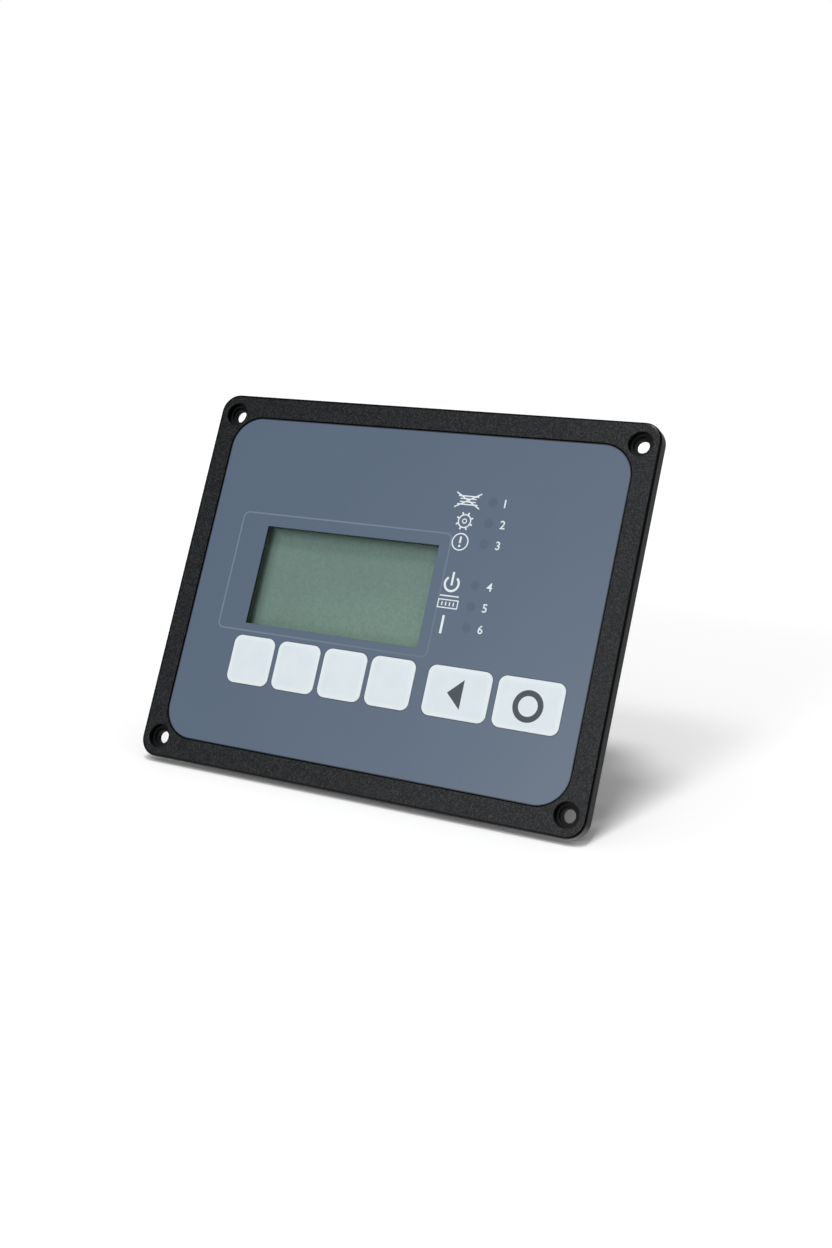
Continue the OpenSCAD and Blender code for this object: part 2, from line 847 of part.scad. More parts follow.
// Processor with the row of leads around it
module processor() {
    across_w = processor_w + 2 * lead_reach;
    inside_w = processor_w - 2 * lead_reach;
    color("#202124") {
        block(processor_x, processor_z, processor_w, processor_w, main_back_y, main_back_y + processor_t);
        block(processor_x, processor_z, across_w, inside_w, main_back_y, main_back_y + lead_t);
        block(processor_x, processor_z, inside_w, across_w, main_back_y, main_back_y + lead_t);
    }
}

// Metal can of the processor's crystal, with round ends
module crystal_can() {
    color("#b9bcc0")
        slab(main_back_y, main_back_y + crystal_t)
            translate([processor_x, crystal_z]) {
                square([crystal_w - crystal_h, crystal_h], center = true);
                for (side = [-1, 1])
                    translate([side * (crystal_w - crystal_h) / 2, 0])
                        circle(d = crystal_h);
            }
}

// Smaller chips around the processor
module driver_chips() {
    color("#26272a")
        for (point = chip_points)
            block(point[0], point[1], chip_w, chip_h, main_back_y, main_back_y + chip_t);
}

// Choke of the power supply
module power_choke() {
    color("#4a4b4d")
        difference() {
            block(choke_x, choke_z, choke_w, choke_w, main_back_y, main_back_y + choke_t);
            bar([choke_x, choke_z], choke_w - 2 * choke_rim,
                main_back_y + choke_t - choke_sink, main_back_y + choke_t + cut);
        }
}

// Capacitors of the power supply
module supply_capacitors() {
    groove_y = main_back_y + capacitor_h / 6;
    color("#3a4a6a")
        for (z = capacitor_z)
            difference() {
                bar([capacitor_x, z], capacitor_d, main_back_y, main_back_y + capacitor_h);
                difference() {
                    bar([capacitor_x, z], capacitor_d + cut, groove_y, groove_y + capacitor_groove);
                    bar([capacitor_x, z], capacitor_d - 2 * capacitor_groove, groove_y - cut, groove_y + cut);
                }
            }
}

// Shroud of the harness header, with one slot that keys the plug
module harness_header() {
    color("#e6e2d8")
        difference() {
            header_shroud(harness_x, harness_w, harness_h, harness_pin_points);
            block(harness_x, bay_z + harness_h / 2, key_slot_w, 4 * header_wall,
                  header_top_y - key_slot_depth, header_top_y + cut);
        }
}

// Pins of the harness header
module harness_pins() {
    color("#c9b46a")
        pins(harness_pin_points);
}

// Shroud of the terminal header, with a slot above each way
module terminal_header() {
    color("#3f8f57")
        difference() {
            header_shroud(terminal_x, terminal_w, terminal_h, terminal_pin_points);
            for (point = terminal_pin_points)
                block(point[0], bay_z + terminal_h / 2, way_slot_w, 4 * header_wall,
                      header_top_y - way_slot_depth, header_top_y + cut);
        }
}

// Pins of the terminal header
module terminal_pins() {
    color("#c0c2c4")
        pins(terminal_pin_points);
}

// Threaded inserts in the corner bosses
module thread_inserts() {
    color("#c8a24a")
        for (point = cover_points)
            difference() {
                bar(point, insert_d, skirt_depth - insert_h, skirt_depth);
                bar(point, board_screw_d + 2 * fit_gap, skirt_depth - insert_h - cut, skirt_depth + cut);
            }
}

// Seal between the skirt and the cover
module cover_seal() {
    seal_w = housing_w - 2 * seal_gap;
    seal_h = housing_h - 2 * seal_gap;
    color("#0c0c0c")
        slab(seal_y, skirt_depth)
            difference() {
                round_rect(seal_w, seal_h, housing_corner_r - seal_gap);
                round_rect(inner_w + 2 * lip_t + 2 * fit_gap, inner_h + 2 * lip_t + 2 * fit_gap,
                           inner_corner_r + lip_t + fit_gap);
            }
}

// Room in the cover's rim for the skirt's lip
module lip_room() {
    slab(skirt_depth - cut, skirt_depth + lip_h + lip_gap)
        difference() {
            round_rect(inner_w + 2 * (lip_t + lip_gap), inner_h + 2 * (lip_t + lip_gap),
                       inner_corner_r + lip_t + lip_gap);
            round_rect(inner_w - 2 * lip_gap, inner_h - 2 * lip_gap, inner_corner_r - lip_gap);
        }
}

// Shell of the rear cover, before its bay and screw sleeves
module cover_shell() {
    difference() {
        rear_tablet(housing_w, housing_h, skirt_depth, housing_depth, housing_corner_r, back_edge_r);
        slab(skirt_depth - cut, housing_depth - back_t)
            round_rect(inner_w, inner_h, inner_corner_r);
    }
}

// Bay block that hangs from the cover's back
module bay_tub() {
    slab(bay_floor_y - bay_wall, housing_depth - back_t / 2)
        translate([0, bay_z])
            round_rect(bay_w + 2 * bay_wall, bay_h + 2 * bay_wall, bay_corner_r + bay_wall);
}

// Hollow of the bay with the slots for both headers
module bay_hollow() {
    slab(bay_floor_y, housing_depth + cut)
        translate([0, bay_z])
            round_rect(bay_w, bay_h, bay_corner_r);
    for (slot = [[harness_x, harness_w, harness_h], [terminal_x, terminal_w, terminal_h]])
        block(slot[0], bay_z, slot[1] + 2 * header_slot_gap, slot[2] + 2 * header_slot_gap,
              bay_floor_y - bay_wall - cut, bay_floor_y + cut);
}

// Sunk panel of the cover's back, between ribs that stay flush
module sunk_panel() {
    rib_pitch = panel_w / panel_rib_count;
    for (i = [0:panel_rib_count - 1])
        block((i - (panel_rib_count - 1) / 2) * rib_pitch, (panel_top_z + panel_bottom_z) / 2,
              rib_pitch - panel_rib_w, panel_top_z - panel_bottom_z,
              housing_depth - panel_depth, housing_depth + cut);
}

// Moulded rear cover with a bay for the plugs
module rear_cover() {
    color("#222325")
        difference() {
            union() {
                cover_shell();
                bay_tub();
                for (point = cover_points)
                    bar(point, cover_sleeve_d, skirt_depth, housing_depth - back_t / 2);
            }
            lip_room();
            bay_hollow();
            sunk_panel();
            for (point = cover_points) {
                bar(point, cover_screw_hole_d, skirt_depth - cut, cover_head_y + cut);
                bar(point, cover_head_d + 2 * cover_head_gap, cover_head_y, housing_depth + cut);
            }
        }
}

// Screws that hold the rear cover
module cover_screws() {
    color("#a8abae")
        for (point = cover_points)
            screw(point, board_screw_d, cover_head_d, cover_head_h, cover_head_y, cover_head_y - cover_screw_tip_y);
}

bezel_frame();
panel_gasket();
overlay_film();
key(0);  // soft_key_1
key(1);  // soft_key_2
key(2);  // soft_key_3
key(3);  // soft_key_4
key(4);  // back_key
key(5);  // stop_key
keypad_spacer();
keypad_circuit();
snap_domes();
display_pane();
lcd_frame();
lcd_glass();
lcd_backlight();
lcd_board();
display_drivers();
lcd_screws();
board_header();
light_pipes();
status_lamps();
main_board();
board_screws();
tail_socket();
processor();
crystal_can();
driver_chips();
power_choke();
supply_capacitors();
harness_header();
harness_pins();
terminal_header();
terminal_pins();
thread_inserts();
rear_cover();
cover_seal();
cover_screws();
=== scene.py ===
"""Looks of a generator control display: finishes, printed signs, connectors, boards, camera and light.

Sizes are in millimetres unless a name says otherwise. X is right, Z is up, and the front looks along -Y.
"""

from __future__ import annotations

import json
import logging
import math
from dataclasses import dataclass, field
from enum import Enum
from functools import cache
from typing import Mapping, Sequence, Union

import bmesh
import bpy
from mathutils import Matrix, Vector

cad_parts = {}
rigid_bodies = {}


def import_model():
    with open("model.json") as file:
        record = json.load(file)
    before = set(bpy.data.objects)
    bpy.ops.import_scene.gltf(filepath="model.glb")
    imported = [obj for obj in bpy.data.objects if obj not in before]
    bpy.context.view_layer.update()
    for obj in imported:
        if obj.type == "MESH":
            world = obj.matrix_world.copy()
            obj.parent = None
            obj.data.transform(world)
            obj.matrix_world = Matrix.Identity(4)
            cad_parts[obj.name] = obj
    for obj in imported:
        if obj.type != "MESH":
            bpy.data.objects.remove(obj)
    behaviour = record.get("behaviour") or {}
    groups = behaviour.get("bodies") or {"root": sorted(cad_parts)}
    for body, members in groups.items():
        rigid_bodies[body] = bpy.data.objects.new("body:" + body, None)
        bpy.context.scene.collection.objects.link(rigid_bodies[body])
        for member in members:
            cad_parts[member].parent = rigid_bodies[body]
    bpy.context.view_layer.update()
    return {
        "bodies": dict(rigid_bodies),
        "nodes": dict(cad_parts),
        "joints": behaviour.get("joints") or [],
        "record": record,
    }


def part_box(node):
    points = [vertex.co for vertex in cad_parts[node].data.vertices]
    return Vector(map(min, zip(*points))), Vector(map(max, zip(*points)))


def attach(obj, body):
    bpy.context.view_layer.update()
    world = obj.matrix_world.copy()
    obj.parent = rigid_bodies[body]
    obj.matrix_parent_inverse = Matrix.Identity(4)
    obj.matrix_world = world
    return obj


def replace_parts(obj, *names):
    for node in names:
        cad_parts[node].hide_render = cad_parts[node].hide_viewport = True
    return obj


LOG = logging.getLogger("control_display")
MM = 0.001

Colour = tuple[float, float, float]
Point = tuple[float, float]
Place = tuple[float, float, float]


def paint(red: int, green: int, blue: int) -> Colour:
    """Turns a colour written as three display values into the linear values that a shader takes.

    Args:
        red: Red from 0 to 255.
        green: Green from 0 to 255.
        blue: Blue from 0 to 255.

    Returns:
        The linear colour.
    """

    def linear(value: float) -> float:
        """Undoes the display curve of one value."""
        return value / 12.92 if value <= 0.04045 else ((value + 0.055) / 1.055) ** 2.4

    return linear(red / 255), linear(green / 255), linear(blue / 255)


def shaded(colour: Colour, share: float) -> Colour:
    """Scales a linear colour, up to white."""
    return tuple(min(1.0, part * share) for part in colour)


@dataclass(frozen=True)
class Rectangle:
    """A rectangle in the front view.

    Attributes:
        width: Its width.
        height: Its height.
        corner: Radius of its corners.
        middle: Its middle, right and up.
    """

    width: float
    height: float
    corner: float = 0.0
    middle: Point = (0.0, 0.0)

    def corners(self, margin: float = 0.0) -> list[Point]:
        """Gives its sharp corners, a margin further out."""
        (x, z), across, up = self.middle, self.width / 2 + margin, self.height / 2 + margin
        return [(x - across, z - up), (x + across, z - up), (x + across, z + up), (x - across, z + up)]


@dataclass(frozen=True)
class Extent:
    """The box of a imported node."""

    low: Vector
    high: Vector

    @classmethod
    def of(cls, node: str) -> "Extent":
        """Reads the box of a node."""
        return cls(*(Vector(corner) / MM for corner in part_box(node)))

    @property
    def size(self) -> Vector:
        """The size along each axis."""
        return self.high - self.low

    @property
    def middle(self) -> Vector:
        """The middle."""
        return (self.low + self.high) / 2

    def middle_at(self, y: float) -> Vector:
        """Gives the middle in the front view, at another depth."""
        return Vector((self.middle.x, y, self.middle.z))

    def outline(self, corner: float = 0.0) -> Rectangle:
        """Gives the box in the front view."""
        return Rectangle(self.size.x, self.size.z, corner, (self.middle.x, self.middle.z))

    def pitches(self, columns: int, rows: int, room: float) -> Point:
        """Gives the steps between things that fill the box in columns and rows.

        Args:
            columns: How many lie side by side.
            rows: How many lie above each other.
            room: Width and height of each.

        Returns:
            The step to the right and the step upwards.
        """
        return (self.size.x - room) / max(columns - 1, 1), (self.size.z - room) / max(rows - 1, 1)


PLATE = Rectangle(175.0, 140.0, 6.8)
FILM = Rectangle(158.6, 122.8, 11.5)
DISPLAY_MIDDLE = (-19.9, 2.2)
OPENING = Rectangle(71.0, 37.4, middle=DISPLAY_MIDDLE)
WINDOW = Rectangle(70.4, 36.8, middle=DISPLAY_MIDDLE)
PANE = Rectangle(85.9, 44.1, 2.2, (-23.55, 3.05))
# The status lights stand in two groups of three: heights of each group's first and last light.
LIGHT_ROWS = ((37.5, 22.6), (8.0, -6.9))
LIGHT_PITCH = 7.45
COVER_SCREW = (65.3, 47.8)


class Wire:
    """A node's socket that takes part in Python sums, each of which adds a Math node."""

    def __init__(self, board: "Wiring", socket: bpy.types.NodeSocket) -> None:
        """Keeps the socket and the wiring that it belongs to."""
        self.board = board
        self.socket = socket

    def __add__(self, other: "Amount") -> "Wire":
        """Adds."""
        return self.board.sum("ADD", self, other)

    __radd__ = __add__

    def __sub__(self, other: "Amount") -> "Wire":
        """Takes other away."""
        return self.board.sum("SUBTRACT", self, other)

    def __rsub__(self, other: "Amount") -> "Wire":
        """Takes this away from other."""
        return self.board.sum("SUBTRACT", other, self)

    def __mul__(self, other: "Amount") -> "Wire":
        """Multiplies."""
        return self.board.sum("MULTIPLY", self, other)

    __rmul__ = __mul__

    def __truediv__(self, other: "Amount") -> "Wire":
        """Divides by other."""
        return self.board.sum("DIVIDE", self, other)

    def __rtruediv__(self, other: "Amount") -> "Wire":
        """Divides other by this."""
        return self.board.sum("DIVIDE", other, self)

    def __abs__(self) -> "Wire":
        """Drops the sign."""
        return self.board.sum("ABSOLUTE", self)

    def least(self, other: "Amount") -> "Wire":
        """Takes the smaller of the two."""
        return self.board.sum("MINIMUM", self, other)

    def most(self, other: "Amount") -> "Wire":
        """Takes the larger of the two."""
        return self.board.sum("MAXIMUM", self, other)

    def rounded(self) -> "Wire":
        """Rounds to the nearest whole number."""
        return self.board.sum("ROUND", self)

    def sine(self) -> "Wire":
        """Takes the sine."""
        return self.board.sum("SINE", self)

    def ripple(self, pitch: float) -> "Wire":
        """Goes from 0 to 1 and back in each pitch."""
        return abs((self * (math.pi / pitch)).sine())

    def turn_from(self, other: "Amount") -> "Wire":
        """Takes the angle whose two sides are this and other."""
        return self.board.sum("ARCTAN2", self, other)

    def reach(self, other: "Wire") -> "Wire":
        """Takes the length of the two as the sides of a right angle."""
        return self.board.sum("SQRT", self * self + other * other)

    def rise(self, low: float, high: float) -> "Wire":
        """Goes smoothly from 0 at low to 1 at high, where low may be above high.

        Args:
            low: Value at which it is 0.
            high: Value at which it is 1.

        Returns:
            The share.
        """
        start, end, flip = (low, high, False) if low < high else (high, low, True)
        made = self.board.node(
            "ShaderNodeMapRange",
            {"Value": self, "From Min": start, "From Max": end},
            interpolation_type="SMOOTHSTEP",
        )
        return 1 - made if flip else made

    def other(self, out: Union[str, int]) -> "Wire":
        """Gives another output of the same node."""
        return Wire(self.board, self.socket.node.outputs[out])


Amount = Union[Wire, float]


class Wiring:
    """Adds nodes to one tree."""

    def __init__(self, tree: bpy.types.NodeTree) -> None:
        """Empties the tree. Its patterns are read at the place that a subclass sets.

        Args:
            tree: The tree.
        """
        self.tree = tree
        self.place: Wire | None = None
        tree.nodes.clear()

    def node(
        self,
        kind: str,
        sockets: Mapping[Union[str, int], object] | None = None,
        out: Union[str, int] = 0,
        **settings: object,
    ) -> Wire:
        """Adds a node of any type.

        Args:
            kind: The node's type.
            sockets: Values or links of its inputs.
            out: The output that is handed back.
            settings: Its settings, which are set before its inputs.

        Returns:
            The chosen output, or an empty wire where the node has none.
        """
        made = self.tree.nodes.new(kind)
        for name, value in settings.items():
            setattr(made, name, value)
        for name, value in (sockets or {}).items():
            self._feed(made.inputs[name], value)
        return Wire(self, made.outputs[out] if len(made.outputs) else None)

    def sum(self, operation: str, *terms: Amount) -> Wire:
        """Adds a Math node with its terms in order."""
        return self.node("ShaderNodeMath", dict(enumerate(terms)), operation=operation)

    def axes(self, place: Wire | None = None) -> tuple[Wire, Wire, Wire]:
        """Splits a place, or that of the point itself, into its distances right, back and up."""
        right = self.node("ShaderNodeSeparateXYZ", {0: place or self.place})
        return right, right.other(1), right.other(2)

    def outside(self, shape: Rectangle) -> Wire:
        """Gives the distance of the point from a rectangle in the front view, negative inside.

        Args:
            shape: The rectangle.

        Returns:
            The distance.
        """
        x, _, z = self.axes()
        side = abs(x - shape.middle[0]) - (shape.width / 2 - shape.corner)
        end = abs(z - shape.middle[1]) - (shape.height / 2 - shape.corner)
        return side.most(0).reach(end.most(0)) + side.most(end).least(0) - shape.corner

    def _feed(self, socket: bpy.types.NodeSocket, value: object) -> None:
        """Links a wire to an input, or sets the input's plain value.

        Args:
            socket: The input.
            value: The wire or the value.
        """
        if isinstance(value, Wire):
            self.tree.links.new(value.socket, socket)
        elif socket.type == "RGBA":
            socket.default_value = (*value, 1.0)
        else:
            socket.default_value = value


class Pattern(Wiring):
    """One Geometry Nodes tree under construction, in millimetres, whose sizes are named inputs."""

    def __init__(self, name: str) -> None:
        """Starts a tree, whose name also goes to the mesh that it makes.

        Args:
            name: The tree's name.
        """
        self.group = bpy.data.node_groups.new(name, "GeometryNodeTree")
        super().__init__(self.group)
        self.group.interface.new_socket("Geometry", in_out="OUTPUT", socket_type="NodeSocketGeometry")
        self.entry = self.tree.nodes.new("NodeGroupInput")
        self.place = self.node("GeometryNodeInputPosition")
        self.values: dict[str, float] = {}

    def size(self, name: str, value: float) -> Wire:
        """Adds a named input, whole where its value is whole.

        Args:
            name: The input's name.
            value: Its value in this piece.

        Returns:
            The input.
        """
        kind = "NodeSocketInt" if isinstance(value, int) else "NodeSocketFloat"
        socket = self.group.interface.new_socket(name, in_out="INPUT", socket_type=kind)
        self.values[socket.identifier] = value
        return Wire(self, self.entry.outputs[name])

    def vector(self, x: Amount, y: Amount = 0.0, z: Amount = 0.0) -> Wire:
        """Joins three amounts."""
        return self.node("ShaderNodeCombineXYZ", {0: x, 1: y, 2: z})

    def block(self, width: Amount, depth: Amount, height: Amount, points: tuple[int, int, int]) -> Wire:
        """Makes a block round the middle.

        Args:
            width: Its size to the right.
            depth: Its size to the back.
            height: Its size upwards.
            points: How many points it has each way.

        Returns:
            The block.
        """
        counts = {f"Vertices {axis}": count for axis, count in zip("XYZ", points)}
        return self.node("GeometryNodeMeshCube", {"Size": self.vector(width, depth, height), **counts})

    def moved(
        self, shape: Wire, shift: object = (0, 0, 0), turn: object = (0, 0, 0), scale: object = (1, 1, 1)
    ) -> Wire:
        """Shifts, turns and scales a shape."""
        sockets = {0: shape, "Translation": shift, "Rotation": turn, "Scale": scale}
        return self.node("GeometryNodeTransform", sockets)

    def reshaped(self, shape: Wire, x: Wire, y: Wire, z: Wire) -> Wire:
        """Moves each point of a shape to a new place."""
        return self.node("GeometryNodeSetPosition", {"Geometry": shape, "Position": self.vector(x, y, z)})

    def row(self, count: Amount, x: Amount = 0.0, z: Amount = 0.0) -> Wire:
        """Lays points in a row round the middle.

        Args:
            count: How many.
            x: Step to the right from one to the next.
            z: Step upwards.

        Returns:
            The points.
        """
        back = (count - 1) * -0.5
        start, step = self.vector(x * back, 0.0, z * back), self.vector(x, 0.0, z)
        sockets = {"Count": count, "Start Location": start, "Offset": step}
        return self.node("GeometryNodeMeshLine", sockets, mode="OFFSET")

    def planted(self, points: Wire, shape: Wire, turn: object = (0, 0, 0)) -> Wire:
        """Puts a copy of a shape on each point."""
        sockets = {"Points": points, "Instance": shape, "Rotation": turn}
        return self.node("GeometryNodeInstanceOnPoints", sockets)

    def grid(self, shape: Wire, columns: int, rows: int, pitches: Point) -> Wire:
        """Puts copies of a shape in columns and rows round the middle.

        Args:
            shape: The shape.
            columns: How many columns.
            rows: How many rows.
            pitches: Step from one column to the next, and from one row to the next.

        Returns:
            The copies.
        """
        across = self.row(self.size("Columns", columns), self.size("Column pitch", pitches[0]))
        up = self.row(self.size("Rows", rows), 0.0, self.size("Row pitch", pitches[1]))
        return self.planted(up, self.planted(across, shape))

    def joined(self, *shapes: Wire) -> Wire:
        """Joins shapes to one.

        Args:
            shapes: The shapes.

        Returns:
            All of them.
        """
        made = self.node("GeometryNodeJoinGeometry")
        for shape in shapes:
            self.tree.links.new(shape.socket, made.socket.node.inputs[0])
        return made

    def coil(
        self, radii: tuple[Wire, Wire], length: float, turns: float, wire: Wire, points: tuple[int, int]
    ) -> Wire:
        """Winds a wire round an axis that runs to the back, and closes its ends.

        Args:
            radii: Radius where it starts and where it ends.
            length: How far back it runs.
            turns: How many turns it makes.
            wire: Radius of the wire.
            points: How many points each turn has, and how many the wire's section.

        Returns:
            The winding.
        """
        ends = {"Start Radius": radii[0], "End Radius": radii[1]}
        spiral = {"Resolution": points[0], "Rotations": turns, "Height": length}
        path = self.node("GeometryNodeCurveSpiral", ends | spiral)
        ring = {"Resolution": points[1], "Radius": wire}
        section = self.node("GeometryNodeCurvePrimitiveCircle", ring, mode="RADIUS")
        sweep = {"Curve": path, "Profile Curve": section, "Fill Caps": True}
        return self.moved(self.node("GeometryNodeCurveToMesh", sweep), turn=(-math.pi / 2, 0, 0))

    def grown(self, shape: Wire, finish: "Finishes", middle: Sequence[float]) -> bpy.types.Mesh:
        """Ends the tree, runs it and hands back a plain mesh in metres.

        Args:
            shape: What the tree makes.
            finish: The finish that it wears.
            middle: Where its middle goes.

        Returns:
            The mesh.
        """
        whole = self.node("GeometryNodeRealizeInstances", {"Geometry": shape})
        whole = self.moved(whole, tuple(part * MM for part in middle), scale=(MM, MM, MM))
        whole = self.node("GeometryNodeSetMaterial", {"Geometry": whole, "Material": finish.made()})
        self.node("NodeGroupOutput", {0: whole})
        holder = bpy.data.objects.new(self.group.name, bpy.data.meshes.new("empty"))
        bpy.context.scene.collection.objects.link(holder)
        modifier = holder.modifiers.new("pattern", "NODES")
        modifier.node_group = self.group
        for identifier, value in self.values.items():
            modifier[identifier] = value
        bpy.context.view_layer.update()
        mesh = bpy.data.meshes.new_from_object(holder.evaluated_get(bpy.context.evaluated_depsgraph_get()))
        mesh.name = self.group.name
        empty = holder.data
        bpy.data.objects.remove(holder)
        bpy.data.meshes.remove(empty)
        return mesh


class Surface(Wiring):
    """One material under construction, with the patterns that its finishes share."""

    def __init__(self, name: str) -> None:
        """Starts a material of that name, whose places are in millimetres.

        Args:
            name: The material's name.
        """
        self.material = bpy.data.materials.new(name)
        self.material.use_nodes = True
        super().__init__(self.material.node_tree)
        metres = self.node("ShaderNodeTexCoord", out="Object")
        self.place = self.node("ShaderNodeVectorMath", {0: metres, "Scale": 1 / MM}, operation="SCALE")

    def stretched(self, scale: Place) -> Wire:
        """Gives the place of the point after a scale along each axis."""
        return self.node("ShaderNodeMapping", {"Vector": self.place, "Scale": scale})

    def clouds(self, size: float, detail: float = 2.0, place: Wire | None = None) -> Wire:
        """Gives soft random patches between 0 and 1.

        Args:
            size: Size of a patch.
            detail: How many finer layers lie on it.
            place: Where it is read, or None for the point itself.

        Returns:
            The patches.
        """
        sockets = {"Vector": place or self.place, "Scale": 1 / size, "Detail": detail}
        return self.node("ShaderNodeTexNoise", sockets)

    def pebbles(self, size: float, smoothness: float = 0.4) -> Wire:
        """Gives rounded random cells, 0 in a cell's middle.

        Args:
            size: Size of a cell.
            smoothness: How softly the cells run together.

        Returns:
            The distance from the nearest middle.
        """
        sockets = {"Vector": self.place, "Scale": 1 / size, "Smoothness": smoothness}
        return self.node("ShaderNodeTexVoronoi", sockets, "Distance", feature="SMOOTH_F1")

    def blend(self, share: Amount, first: object, second: object) -> Wire:
        """Mixes two colours, where the share is that of the second."""
        return self.node("ShaderNodeMix", {0: share, 6: first, 7: second}, 2, data_type="RGBA")

    def bump(self, height: Amount) -> Wire:
        """Turns a height in millimetres into a normal."""
        return self.node("ShaderNodeBump", {"Strength": 1.0, "Distance": MM, "Height": height})

    def close(self, shader: Wire) -> bpy.types.Material:
        """Connects the shader to the output and hands back the material."""
        self.node("ShaderNodeOutputMaterial", {"Surface": shader})
        return self.material


@dataclass(frozen=True)
class Finish:
    """A moulded, printed or plated surface with its own colour, gloss and grain.

    Attributes:
        name: Name of the material.
        colour: Base colour.
        roughness: Middle roughness.
        metallic: 1 for bare metal.
        coat: Weight of a clear coat.
        coat_roughness: Roughness of that coat.
        shine: Strength of the plain mirror gloss, 0.5 for usual plastic.
        mottle: Share by which the colour wanders.
        mottle_size: Size of the patches of colour.
        mottle_ends: Values of the noise at which the dark patches end and the pale ones are whole.
        wander: Share by which the roughness wanders, in patches a third of that size.
        grain_size: Size of the surface's grain.
        grain_depth: Depth of the grain.
    """

    name: str
    colour: Colour
    roughness: float = 0.5
    metallic: float = 0.0
    coat: float = 0.0
    coat_roughness: float = 0.2
    shine: float = 0.5
    mottle: float = 0.06
    mottle_size: float = 7.0
    mottle_ends: Point = (0.3, 0.7)
    wander: float = 0.4
    grain_size: float = 0.3
    grain_depth: float = 0.006

    def tint(self, surface: Surface) -> Wire:
        """Gives the base colour over the surface.

        Args:
            surface: The material under construction.

        Returns:
            The colour.
        """
        patches = surface.clouds(self.mottle_size).rise(*self.mottle_ends)
        dark, pale = (shaded(self.colour, 1 + way * self.mottle) for way in (-1, 1))
        return surface.blend(patches, dark, pale)

    def gloss(self, surface: Surface) -> Amount:
        """Gives the roughness over the surface."""
        return self.roughness + (surface.clouds(self.mottle_size / 3) - 0.5) * (self.roughness * self.wander)

    def relief(self, surface: Surface) -> Wire:
        """Gives the height of the grain."""
        return surface.clouds(self.grain_size, detail=3) * self.grain_depth

    def shader(self, surface: Surface) -> Wire:
        """Builds the shader.

        Args:
            surface: The material under construction.

        Returns:
            The shader.
        """
        sockets = {
            "Base Color": self.tint(surface),
            "Roughness": self.gloss(surface),
            "Metallic": self.metallic,
            "Coat Weight": self.coat,
            "Specular IOR Level": self.shine,
            "Coat Roughness": self.coat_roughness,
            "Normal": surface.bump(self.relief(surface)),
        }
        return surface.node("ShaderNodeBsdfPrincipled", sockets)

    def material(self) -> bpy.types.Material:
        """Builds the material."""
        surface = Surface(self.name)
        return surface.close(self.shader(surface))


